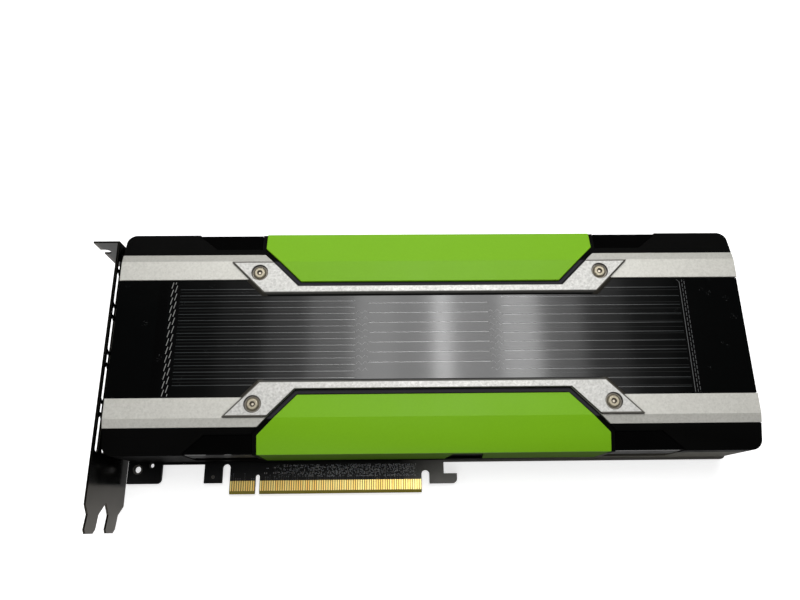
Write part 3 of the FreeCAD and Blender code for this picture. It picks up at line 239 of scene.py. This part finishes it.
def silver_paint(name, colour, fleck):
    """Satin metallic paint with painted shade in its corners, on its far slope and round the screws; returns
    the material and the colour drawn so far.
    """
    material = Material(name, Metallic=0.35, Specular_IOR_Level=0.35)
    clouds = uneven(material, colour, 0.035, 45 * MM)
    specks = material.plus(material.ramp(material.noise(1.1 * MM, 2.0), 0.3, 0.7, -fleck, fleck),
                           material.ramp(material.flecks(0.65 * MM), 0.0, 1.0, -fleck, fleck))
    light_specks = material.math("MAXIMUM", specks, 0.0)
    dark_specks = material.math("MAXIMUM", material.times(specks, -1.0), 0.0)
    paint = material.mix(light_specks, clouds, (1.0, 1.0, 0.97))
    paint = material.mix(dark_specks, paint, (0.05, 0.05, 0.045))
    # Painted shade: the paint darkens where the surface lies in a corner or beside a wall.
    painted_shade_in_corners = material.open_air(1.1 * MM, 0.50, 0.88, 0.85, 0.0)
    paint = material.mix(painted_shade_in_corners, paint, (0.03, 0.028, 0.024))
    # Painted shade on the far slope of the upper rail, stronger toward its left end.
    painted_shade_far_slope = material.both(material.ramp(material.axis("Y"), 33.0, 34.0),
                              material.ramp(material.axis("Z"), RAIL_LEVEL - 0.04, RAIL_LEVEL - 0.08),
                              material.ramp(material.axis("X"), 110.0, -110.0, 0.27, 0.45))
    paint = material.mix(painted_shade_far_slope, paint, (0.20, 0.195, 0.175))
    # Painted shade round the wing screws, in the bottom of their pockets.
    paint = material.mix(material.times(near_screws(material, 3.05), 0.75), paint, (0.22, 0.20, 0.17))
    rough(material, 0.44, 0.03, 12 * MM)
    material.bump(material.noise(0.45 * MM, detail=2.0), 0.018 * MM)
    return material, paint


def rail_silver():
    """Silver paint with nothing more drawn on it."""
    material, paint = silver_paint("rail_silver", (0.585, 0.577, 0.53), 0.065)
    material.colour(paint)
    return material


def wing_silver():
    """Silver paint with stronger flecks, a skirt darkened by painted shade, a dark painted shadow outline,
    and a black painted shadow at the foot of the skirt.
    """
    material, paint = silver_paint("wing_silver", (0.545, 0.54, 0.515), 0.14)
    y, z = material.axis("Y"), material.axis("Z")
    # Painted shade on the skirt below the wing plate's top.
    painted_shade_skirt = material.ramp(z, WING_EDGE_LEVEL, WING_EDGE_LEVEL - 0.05, 0.0, 0.95)
    paint = material.mix(painted_shade_skirt, paint, (0.050, 0.049, 0.043))
    # Painted shadow, nearly black, at the foot of the skirt.
    painted_shadow_foot = material.ramp(z, COVER_LEVEL + 0.95, COVER_LEVEL + 0.80)
    paint = material.mix(painted_shadow_foot, paint, (0.003, 0.003, 0.003))
    # Painted shadow along the plates' outer and slanted edges, where they meet the rail.
    slant = material.minus(material.size(material.axis("X")), material.size(y))
    painted_shadow_outline = material.either(material.ramp(y, 32.8, 32.9), material.ramp(y, -32.7, -32.8),
                              material.ramp(slant, 51.3, 51.45))
    material.colour(material.mix(material.times(painted_shadow_outline, 0.95), paint, (0.055, 0.050, 0.040)))
    return material


def insert_green():
    """Moulded green plastic, darkened by painted shade and duller on its steep outer wall."""
    material = Material("insert_green", Specular_IOR_Level=0.14)
    green = uneven(material, (0.196, 0.462, 0.010), 0.03, 50 * MM)
    specks = material.ramp(material.flecks(0.5 * MM), 0.0, 1.0, 0.0, 0.05)
    green = material.mix(specks, green, (0.05, 0.14, 0.0))
    # Painted shade on the steep outer wall; its extra roughness is real.
    wall_painted_shading = material.ramp(material.axis("Z"), WALL_TOP, WALL_TOP - 0.4)
    material.colour(material.mix(wall_painted_shading, green, (0.060, 0.135, 0.0)))
    rough(material, 0.40, 0.03, 9 * MM, more=material.times(wall_painted_shading, 0.45))
    material.bump(material.noise(0.6 * MM, detail=2.0), 0.010 * MM)
    return material


def shell_black():
    """Matte black plastic: a paler border round the inserts, kept dark next to the walls by painted shadow,
    and painted light on the near wall that grows to the right.
    """
    material = Material("shell_black", Specular_IOR_Level=0.02)
    black = uneven(material, (0.0022, 0.0022, 0.0021), 0.25, 12 * MM)
    x, y, z = (material.axis(letter) for letter in "XYZ")
    # The border's own paler colour, held back next to the walls by painted shadow.
    border_with_painted_shadow = material.both(material.band(z, BORDER_LEVEL, 0.08), material.band(x, 0.0, 75.0),
                           material.band(y, 0.0, 36.0), material.open_air(0.9 * MM, 0.66, 0.95))
    black = material.mix(border_with_painted_shadow, black, (0.036, 0.034, 0.042))
    # Painted light on the near lower wall, growing toward the right.
    wall_painted_shading = material.both(material.ramp(y, -44.5, -46.0), material.ramp(z, 27.5, 26.0),
                         material.ramp(x, 20.0, 110.0))
    material.colour(material.mix(wall_painted_shading, black, uneven(material, (0.120, 0.115, 0.096), 0.2, 7 * MM)))
    rough(material, 0.50, 0.05, 8 * MM)
    material.bump(material.noise(0.25 * MM, detail=2.0), 0.035 * MM)
    return material


def slanted_dashes(material, x, y):
    """Two columns of leaning dashes at the left of the cover's first field, like a braid."""
    pitch, lean = 3.6, 0.9
    columns = []
    for left, shift in ((-110.9, 0.0), (-109.3, 1.8)):
        phase = material.math("FRACT", material.math("DIVIDE", material.plus(y, shift), pitch))
        dash = material.band(material.minus(x, material.times(phase, lean)), left, 0.15)
        columns.append(material.both(dash, material.stripes(y, 1.8 - shift, pitch, 1.5)))
    return material.either(*columns)


def frame_lines(material, x, y):
    """A line with a turned-in upper end and two dashed ones at the right of the cover's last field."""
    turned = material.math("MAXIMUM", material.minus(y, 23.5), 0.0)
    return material.either(
        material.band(material.plus(x, turned), 108.0, 0.12),
        material.both(material.band(x, 109.15, 0.10), material.stripes(y, 0.0, 2.2, 0.78)),
        material.both(material.band(x, 110.15, 0.10), material.stripes(y, 1.1, 2.2, 0.78)))


def fine_lines(material, x, y):
    """Thin lines half way between the grooves of the two outer fields."""
    fields = material.either(
        material.both(material.band(x, -69.6, 37.2), material.band(y, 0.5, 22.0)),
        material.both(material.band(x, 68.5, 38.5), material.band(y, -0.5, 22.4)))
    lines = material.stripes(y, FIRST_GROOVE + GROOVE_PITCH / 2, GROOVE_PITCH, 0.06, 0.04)
    return material.both(fields, lines)


def joint_zigzags(material, x, y):
    """Small zigzags where the fields of grooves meet."""
    waves = material.stripes(material.plus(y, material.math("PINGPONG", x, 1.4)), 0.4, GROOVE_PITCH, 0.07)
    joints = material.either(material.band(x, -29.5, 2.6), material.band(x, 27.1, 2.7))
    return material.both(waves, joints, material.band(y, -1.5, 13.5))


def cover_gloss():
    """Polished black cover: pale groove floors with painted light that is strongest in the middle, fine
    lines, dashes and dust.
    """
    material = Material("cover_gloss", Specular_IOR_Level=0.5)
    x, y, z = (material.axis(letter) for letter in "XYZ")
    black = uneven(material, (0.0006, 0.0008, 0.0008), 0.2, 30 * MM)
    black = material.mix(material.band(x, -114.0, 2.0, 0.3), black, (0.0003, 0.0003, 0.0003))
    # Pale groove floors, with painted light on them that is strongest in the middle of the cover.
    middle = material.ramp(material.size(material.minus(x, 5.0)), 100.0, 20.0)
    groove_floor_with_painted_light = material.mix(middle, (0.040, 0.044, 0.045), (0.40, 0.40, 0.40))
    drawn = material.mix(material.ramp(z, COVER_LEVEL - 0.01, COVER_LEVEL - 0.03), black, groove_floor_with_painted_light)
    dust = material.both(material.ramp(material.flecks(2.4 * MM), 0.985, 0.99),
                         material.ramp(material.noise(0.5 * MM), 0.60, 0.66))
    inside = material.band(y, 0.0, 24.6)
    marks = material.either(material.times(fine_lines(material, x, y), 0.22), material.times(dust, 0.4),
                            material.both(frame_lines(material, x, y), inside))
    drawn = material.mix(marks, drawn, (0.120, 0.124, 0.124))
    braid = material.both(slanted_dashes(material, x, y), inside)
    drawn = material.mix(braid, drawn, (0.27, 0.27, 0.26))
    zigzag = material.times(joint_zigzags(material, x, y), 0.5)
    material.colour(material.mix(zigzag, drawn, (0.30, 0.30, 0.30)))
    rough(material, 0.10, 0.008, 6 * MM)
    material.bump(material.noise(2.5 * MM, detail=2.0), 0.0006 * MM)
    return material


def panel_gloss():
    """Glossy black plastic, satin on its side wall."""
    material = Material("panel_gloss", Specular_IOR_Level=0.14)
    material.colour(uneven(material, (0.0012, 0.0012, 0.0012), 0.3, 9 * MM))
    rough(material, 0.10, 0.015, 5 * MM, more=material.ramp(material.axis("Z"), 31.5, 30.5, 0.0, 0.35))
    material.bump(material.noise(1.8 * MM, detail=2.0), 0.0008 * MM)
    return material


def board_mask():
    """Black solder mask: a weave, pads above the contacts, painted light on its right end, laminate at the
    fingers.
    """
    material = Material("board_mask", Specular_IOR_Level=0.18)
    x, y = material.axis("X"), material.axis("Y")
    drawn = uneven(material, (0.0022, 0.0024, 0.0027), 0.3, 6 * MM)
    weave = material.either(*(material.stripes(way, 0.0, 0.9, 0.10, 0.10) for way in (x, y)))
    drawn = material.mix(material.times(weave, 0.12), drawn, (0.02, 0.021, 0.024))
    pads = material.both(material.ramp(material.flecks(0.42 * MM), 0.74, 0.80),
                         material.band(y, -52.0, 2.6, 0.2), material.band(x, -38.0, 31.0, 1.0),
                         material.ramp(x, -85.0, -45.0, 0.1, 1.0))
    drawn = material.mix(pads, drawn, (0.20, 0.21, 0.22))
    # Painted light on the board's right end.
    drawn = material.mix(material.ramp(x, -14.0, 4.0), drawn, (0.150, 0.145, 0.135))
    fingers = material.band(x, FINGER_MIDDLE, FINGER_REACH, 0.1)
    bare = material.both(fingers, material.ramp(y, CONTACT_TOP - 0.1, CONTACT_TOP - 0.2))
    drawn = material.mix(bare, drawn, uneven(material, (0.030, 0.018, 0.004), 0.35, 1.5 * MM))
    bevel = material.both(fingers, material.ramp(y, FINGER_END + 1.35, FINGER_END + 1.25))
    material.colour(material.mix(bevel, drawn, uneven(material, (0.20, 0.165, 0.018), 0.25, 2.5 * MM)))
    rough(material, 0.38, 0.05, 4 * MM)
    material.bump(material.noise(0.5 * MM, detail=2.0), 0.008 * MM)
    return material


def contact_gold():
    """Plated pads: each has its own tint, with very faint lengthwise wipe marks."""
    material = Material("contact_gold", Metallic=0.85)
    row = material.math("FLOOR", material.math("DIVIDE", material.axis("X"), CONTACT_PITCH))
    own = material.node("ShaderNodeTexWhiteNoise", {"noise_dimensions": "1D"}, W=row).outputs["Value"]
    tint = material.mix(own, (0.92, 0.60, 0.15), (1.0, 0.83, 0.31))
    wipe = material.noise(0.5 * MM, 2.0, stretch=(1, 0.08, 1))
    material.colour(material.mix(material.ramp(wipe, 0.35, 0.7, 0.0, 0.03), tint, (1.0, 0.88, 0.55)))
    rough(material, 0.30, 0.02, 8 * MM)
    material.bump(wipe, 0.0002 * MM)
    return material


def brushed(name, colour, roughness, along=(0.06, 1, 1), painted_reflection=None):
    """Stamped sheet with faint rolling marks one way, small dull patches and, where asked, a dark painted
    reflection.
    """
    material = Material(name, Metallic=1.0)
    marks = material.noise(0.35 * MM, 3.0, stretch=along)
    patches = uneven(material, colour, 0.12, 9 * MM)
    drawn = material.mix(material.ramp(marks, 0.3, 0.7, 0.0, 0.25), patches, [part * 0.62 for part in colour])
    # A dark painted reflection, where the caller asks for one.
    if painted_reflection:
        drawn = material.mix(painted_reflection(material), drawn, (0.008, 0.008, 0.007))
    material.colour(drawn)
    rough(material, roughness, 0.05, 7 * MM)
    material.bump(marks, 0.004 * MM)
    return material


def tongue_painted_reflection(material):
    """Nearly 1 on the inner face of the bracket, above its tongues, where a dark reflection is painted."""
    return material.both(material.ramp(material.axis("Y"), -58.8, -57.4),
                         material.ramp(material.axis("X"), -144.7, -144.4, 0.0, 0.88))


def screw_champagne():
    """Screw heads: a warm plated top, a duller flank darkened by painted shade, and a recess dark with
    painted shade that holds a painted glint at its bottom.
    """
    material = Material("screw_champagne", Metallic=0.45)
    top = uneven(material, (0.42, 0.375, 0.275), 0.18, 1.2 * MM)
    # The flank is the plated colour darkened as painted shade.
    flank_painted_shade = uneven(material, (0.30, 0.265, 0.195), 0.3, 1.0 * MM)
    head = material.mix(near_screws(material, 2.15, 0.2), flank_painted_shade, top)
    # Painted shade in the hex recess.
    recess_painted_shade = material.mix(material.times(near_screws(material, 1.15, 0.1), 0.9), head, (0.035, 0.022, 0.012))
    # Painted glint at the bottom of the recess.
    material.colour(material.mix(near_screws(material, 0.45, 0.15), recess_painted_shade, (0.75, 0.68, 0.55)))
    rough(material, 0.32, 0.05, 1.0 * MM)
    material.bump(material.noise(0.3 * MM, detail=2.0), 0.004 * MM)
    return material


MATERIALS = {
    "rail_silver": rail_silver(),
    "wing_silver": wing_silver(),
    "insert_green": insert_green(),
    "shell_black": shell_black(),
    "cover_gloss": cover_gloss(),
    "panel_gloss": panel_gloss(),
    # The bracket carries a dark painted reflection on its inner face above the tongues.
    "bracket_metal": brushed("bracket_metal", (0.076, 0.068, 0.056), 0.20, along=(1, 0.06, 1),
                             painted_reflection=tongue_painted_reflection),
    "board_mask": board_mask(),
    "contact_gold": contact_gold(),
    "ceramic": grained("ceramic", (0.040, 0.031, 0.026), 0.5, 0.2 * MM, 0.008 * MM, Specular_IOR_Level=0.3),
    "plate_black": grained("plate_black", (0.012, 0.012, 0.012), 0.45, 0.3 * MM, 0.02 * MM),
    "screw_black": grained("screw_black", (0.02, 0.02, 0.02), 0.35, 0.3 * MM, 0.005 * MM, Metallic=0.6),
    "package_green": grained("package_green", (0.03, 0.09, 0.05), 0.4, 0.5 * MM, 0.01 * MM),
    "silicon": grained("silicon", (0.12, 0.12, 0.13), 0.12, 1.0 * MM, 0.001 * MM),
    "bright_metal": brushed("bright_metal", (0.55, 0.55, 0.54), 0.28),
    "chip_black": grained("chip_black", (0.02, 0.02, 0.02), 0.55, 0.3 * MM, 0.02 * MM),
    "pad_grey": grained("pad_grey", (0.35, 0.38, 0.42), 0.8, 0.5 * MM, 0.05 * MM),
    "choke_grey": grained("choke_grey", (0.07, 0.07, 0.07), 0.6, 0.3 * MM, 0.03 * MM),
    "can_silver": grained("can_silver", (0.62, 0.62, 0.61), 0.25, 0.4 * MM, 0.005 * MM, Metallic=1.0),
    "cast_aluminium": grained("cast_aluminium", (0.04, 0.04, 0.04), 0.5, 0.4 * MM, 0.03 * MM, Metallic=0.4),
    "chamber_copper": brushed("chamber_copper", (0.65, 0.33, 0.20), 0.3),
    "fin_aluminium": brushed("fin_aluminium", (0.60, 0.61, 0.62), 0.3),
    "socket_black": grained("socket_black", (0.012, 0.012, 0.012), 0.5, 0.3 * MM, 0.02 * MM),
    "pin_tin": brushed("pin_tin", (0.6, 0.6, 0.58), 0.3),
    "screw_champagne": screw_champagne(),
}


def dress_nodes():
    """Gives every node the material of its slot."""
    slots = {part["node"]: part["material_slot"] for part in frame["record"]["subparts"]}
    for name, item in frame["nodes"].items():
        item.data.materials.clear()
        item.data.materials.append(MATERIALS[slots[name]].data)


# Edge radii in millimetres, by the part of a node's name that comes before _upper or _lower.
EDGE_RADII = {"shroud_shell": 0.25, "silver_rail": 0.2, "wing_plate": 0.35, "green_insert": 0.25,
              "mounting_bracket": 0.12, "circuit_board": 0.06, "cover_panel": 0.04, "backplate": 0.12,
              "wing_screws": 0.10, "power_inlet_housing": 0.15, "glossy_panel": 0.15,
              "coupling_capacitors": 0.08}


def round_edges():
    """Small radii on the sharp edges of the parts that show, as moulding, folding and milling leave them."""
    for name, item in frame["nodes"].items():
        family = name.split("_upper")[0].split("_lower")[0]
        if family not in EDGE_RADII:
            continue
        weld = item.modifiers.new("weld", "WELD")
        weld.merge_threshold = 0.002 * MM
        flat = item.modifiers.new("flat", "DECIMATE")
        flat.decimate_type = "DISSOLVE"
        flat.angle_limit = math.radians(0.4)
        edge = item.modifiers.new("edge", "BEVEL")
        edge.width = EDGE_RADII[family] * MM
        edge.segments = 2
        edge.limit_method = "ANGLE"
        edge.angle_limit = math.radians(32)
        edge.use_clamp_overlap = family != "wing_plate"


# ---------------------------------------------------------------- small pieces on the card

def finished(name, shape, material):
    """Turns a bmesh in millimetres into a piece that rides on the card."""
    bmesh.ops.scale(shape, vec=(MM, MM, MM), verts=shape.verts)
    bmesh.ops.recalc_face_normals(shape, faces=shape.faces)
    mesh = bpy.data.meshes.new(name)
    shape.to_mesh(mesh)
    shape.free()
    mesh.materials.append(material.data)
    item = bpy.data.objects.new(name, mesh)
    bpy.context.scene.collection.objects.link(item)
    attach(item, "root")


def add_block(shape, centre, size, turn=0.0):
    """A block with softened edges."""
    place = Matrix.Translation(centre) @ Matrix.Rotation(turn, 4, "Z") @ Matrix.Diagonal((*size, 1.0))
    made = bmesh.ops.create_cube(shape, size=1.0, matrix=place)
    edges = {edge for vert in made["verts"] for edge in vert.link_edges}
    bmesh.ops.bevel(shape, geom=list(edges), offset=0.16 * min(size), segments=1, affect="EDGES",
                    profile=0.5)


def strip_parts():
    """Rows of very small parts above the contacts, thin at the left and dense at the right."""
    chance = random.Random(41)
    shapes = {"strip_resistors": bmesh.new(), "strip_capacitors": bmesh.new(), "strip_ends": bmesh.new()}
    for row in STRIP_ROWS:
        x = -75.0
        while x < -8.0:
            x += chance.uniform(0.85, 1.7)
            dense = (x + 76.0) / 66.0
            if chance.random() > 0.15 + 0.80 * dense:
                continue
            y = row + chance.uniform(-0.12, 0.12)
            upright = chance.random() < 0.4
            size = (0.35, 0.7, 0.3) if upright else (0.7, 0.35, 0.3)
            half_pitch = CAPACITOR_PITCH / 2
            beside = abs((x - CAPACITOR_START + half_pitch) % CAPACITOR_PITCH - half_pitch)
            if beside < 1.2 and abs(y - CAPACITOR_EDGE) < 0.9:      # mostly clear of the larger capacitors
                continue
            kind = "strip_resistors" if chance.random() < 0.5 else "strip_capacitors"
            add_block(shapes[kind], (x, y, BOARD_TOP + 0.15), size)
            for side in (-1, 1):
                shift = (0.0, side * 0.3) if upright else (side * 0.3, 0.0)
                end = (0.37, 0.16, 0.32) if upright else (0.16, 0.37, 0.32)
                add_block(shapes["strip_ends"], (x + shift[0], y + shift[1], BOARD_TOP + 0.16), end)
    colours = {"strip_resistors": ((0.050, 0.053, 0.070), "chip_black"),
               "strip_capacitors": ((0.150, 0.125, 0.100), "ceramic"),
               "strip_ends": ((0.40, 0.41, 0.45), "bright_metal")}
    for name, shape in shapes.items():
        colour, slot = colours[name]
        finished(name, shape, grained(name, colour, 0.45, 0.15 * MM, 0.005 * MM, spread=0.25,
                                            Specular_IOR_Level=0.3))


def capacitor_ends():
    """Tinned ends on the larger capacitors of the row above the contacts."""
    shape = bmesh.new()
    low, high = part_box("coupling_capacitors")
    first = low.x / MM
    middle = (low.y + high.y) / 2 / MM
    count = round((high.x / MM - first - CAPACITOR_LENGTH) / CAPACITOR_PITCH) + 1
    for number in range(count):
        for end in (0.14, CAPACITOR_LENGTH - 0.14):
            add_block(shape, (first + CAPACITOR_PITCH * number + end, middle, BOARD_TOP + 0.31),
                      (0.30, 0.74, 0.62))
    tin = grained("capacitor_ends", (0.20, 0.20, 0.21), 0.4, 0.2 * MM, 0.005 * MM, spread=0.2, Metallic=0.4)
    finished("capacitor_ends", shape, tin)


def contact_traces():
    """Traces that leave the contacts under the mask, each with a short jog and a via pad."""
    chance = random.Random(7)
    traces, vias = bmesh.new(), bmesh.new()
    for start, count in CONTACT_FIELDS:
        for number in range(count):
            x = start + CONTACT_WIDTH / 2 + number * CONTACT_PITCH
            length = chance.choice((0.8, 1.4, 2.2, 2.9))
            if chance.random() < 0.2:
                continue
            add_block(traces, (x, CONTACT_TOP + length / 2, BOARD_TOP + 0.01), (0.16, length, 0.03))
            add_block(vias, (x, CONTACT_TOP + length + 0.1, BOARD_TOP + 0.012), (0.34, 0.34, 0.03),
                      math.radians(45))
    finished("contact_traces", traces,
             grained("contact_traces", (0.030, 0.032, 0.035), 0.35, 0.3 * MM, 0.004 * MM, spread=0.2,
                     Specular_IOR_Level=0.3))
    finished("contact_vias", vias,
             grained("contact_vias", (0.075, 0.078, 0.085), 0.35, 0.3 * MM, 0.004 * MM, spread=0.2,
                     Specular_IOR_Level=0.3))


def add_ring(shape, x, y, low, high, outer, inner, steps=36):
    """A flat ring with a softened upper rim."""
    rim = 0.25 * (high - low)
    profile = ((inner, low), (outer, low), (outer, high - rim), (outer - rim, high), (inner + rim, high),
               (inner, high - rim))
    rows = []
    for number in range(steps):
        angle = 2 * math.pi * number / steps
        across, up = math.cos(angle), math.sin(angle)
        rows.append([shape.verts.new((x + r * across, y + r * up, z)) for r, z in profile])
    for number, row in enumerate(rows):
        following = rows[(number + 1) % steps]
        for corner in range(len(profile)):
            after = (corner + 1) % len(profile)
            shape.faces.new((row[corner], following[corner], following[after], row[after]))


def hole_pads():
    """Bare metal rings round the holes in the board's lobe, and a small one on its tab."""
    shape = bmesh.new()
    add_ring(shape, LOBE_LEFT + 4.3, BOARD_LOW_EDGE - 2.0, BOARD_TOP, BOARD_TOP + 0.05, 2.15, 1.45)
    add_ring(shape, LOBE_LEFT + 10.4, BOARD_LOW_EDGE - 0.3, BOARD_TOP, BOARD_TOP + 0.05, 1.35, 0.95)
    add_ring(shape, *TAB_RING, BOARD_TOP, BOARD_TOP + 0.05, 0.75, 0.25)
    finished("hole_pads", shape, brushed("hole_pads", (0.11, 0.105, 0.095), 0.35))


def screw_pocket_shade_rings():
    """A dull metal ring under each wing screw's head, at the bottom of its pocket, that stands in for the
    shade there as painted shade.
    """
    shape = bmesh.new()
    for x in (-SCREW_X, SCREW_X):
        for y in (-SCREW_Y, SCREW_Y):
            # Dark rings as painted shade in the screw pockets.
            add_ring(shape, x, y, RAIL_LEVEL, RAIL_LEVEL + 0.12, 3.25, 2.9)
    finished("screw_pocket_shade_rings", shape, brushed("screw_pocket_shade_rings", (0.22, 0.20, 0.17), 0.4))


# ---------------------------------------------------------------- stage, light and camera

def floor():
    """A pale floor that looks white beside the object and keeps its shadow."""
    mesh = bpy.data.meshes.new("floor")
    shape = bmesh.new()
    bmesh.ops.create_grid(shape, x_segments=1, y_segments=1, size=6.0)
    shape.to_mesh(mesh)
    shape.free()
    item = bpy.data.objects.new("floor", mesh)
    bpy.context.scene.collection.objects.link(item)
    material = Material("floor_white", Base_Color=(0.80, 0.80, 0.80), Roughness=0.9)
    rays = material.node("ShaderNodeLightPath")
    mirrored = material.plus(rays.outputs["Is Glossy Ray"], rays.outputs["Is Transmission Ray"])
    away = material.node("ShaderNodeVectorMath", {"operation": "LENGTH"}, Vector=material.place)
    white = material.ramp(away.outputs["Value"], 0.5, 1.5, 0.68, 1.0)
    seen = material.times(rays.outputs["Is Camera Ray"], white)
    glow = material.plus(seen, material.times(mirrored, 0.14))
    material.set(material.shader, "Emission Color", (1.0, 1.0, 1.0))
    material.set(material.shader, "Emission Strength", glow)
    item.data.materials.append(material.data)


def world():
    """White behind the object, and almost no light of its own."""
    data = bpy.data.worlds.new("studio")
    data.use_nodes = True
    background = data.node_tree.nodes["Background"]
    background.inputs["Color"].default_value = (1.0, 1.0, 1.0, 1.0)
    rays = data.node_tree.nodes.new("ShaderNodeLightPath")
    strength = data.node_tree.nodes.new("ShaderNodeMapRange")
    data.node_tree.links.new(rays.outputs["Is Camera Ray"], strength.inputs["Value"])
    strength.inputs["To Min"].default_value = 0.03
    strength.inputs["To Max"].default_value = 1.0
    data.node_tree.links.new(strength.outputs["Result"], background.inputs["Strength"])
    bpy.context.scene.world = data


def area_light(name, place, aim, width, height, radiance):
    """A rectangular lamp of that radiance."""
    light = bpy.data.lights.new(name, "AREA")
    light.shape = "RECTANGLE"
    light.size, light.size_y = width, height
    light.energy = radiance * math.pi * width * height
    item = bpy.data.objects.new(name, light)
    bpy.context.scene.collection.objects.link(item)
    item.location = place
    item.rotation_mode = "QUATERNION"
    item.rotation_quaternion = (Vector(aim) - Vector(place)).to_track_quat("-Z", "Y")


def lights():
    """Tubes of unequal strength overhead, a key and a back lamp beyond them, and weaker fill around."""
    # The place of each tube along X, and its radiance.
    tubes = ((-0.41, 0.04), (-0.32, 0.2), (-0.23, 0.85), (-0.14, 2.5), (-0.05, 5.8), (0.03, 4.6),
             (0.09, 14.0), (0.155, 5.0), (0.25, 8.6), (0.34, 2.3), (0.43, 0.55), (0.52, 0.1))
    height, far_end = 1.1, 0.52
    for x, radiance in tubes:
        width = 0.04 if radiance > 10.0 else 0.088
        near_end = -0.06 if 0.05 < x < 0.2 else 0.10
        y = (far_end + near_end) / 2
        area_light("tube", (x, y, height), (x, y, 0.0), width, far_end - near_end, radiance)
    middle = (0.0, 0.0, 0.03)
    area_light("key", (0.0, 0.76, 1.12), middle, 1.3, 0.34, 4.7)
    area_light("back", (0.0, 3.0, 0.95), middle, 2.2, 0.9, 5.0)
    area_light("strip", (-0.12, 0.0, height), (-0.12, 0.0, 0.0), 0.6, 0.08, 1.3)    # shows in the contacts
    area_light("front", (-0.3, -1.5, 1.4), middle, 1.8, 0.7, 2.3)
    area_light("left", (-1.5, 0.1, 0.9), middle, 0.6, 1.2, 1.8)
    area_light("right", (1.5, 0.1, 0.9), middle, 0.6, 1.2, 0.8)


def camera():
    """Stands over the card's lower edge and looks down at it, a little left of its middle."""
    data = bpy.data.cameras.new("camera")
    data.sensor_width = 36.0
    data.lens = 30.32
    data.clip_start = 0.01
    item = bpy.data.objects.new("camera", data)
    bpy.context.scene.collection.objects.link(item)
    right = Vector((0.99985, -0.01149, 0.01329))
    down = Vector((-0.00669, -0.94854, -0.31658))
    ahead = Vector((0.01624, 0.31644, -0.94847))
    turn = Matrix((right, -down, -ahead)).transposed()
    item.matrix_world = Matrix.Translation(Vector((-17.92, -75.19, 310.31)) * MM) @ turn.to_4x4()
    bpy.context.scene.camera = item


dress_nodes()
round_edges()
strip_parts()
capacitor_ends()
contact_traces()
hole_pads()
screw_pocket_shade_rings()
floor()
world()
lights()
camera()
bpy.context.scene.view_settings.view_transform = "Standard"
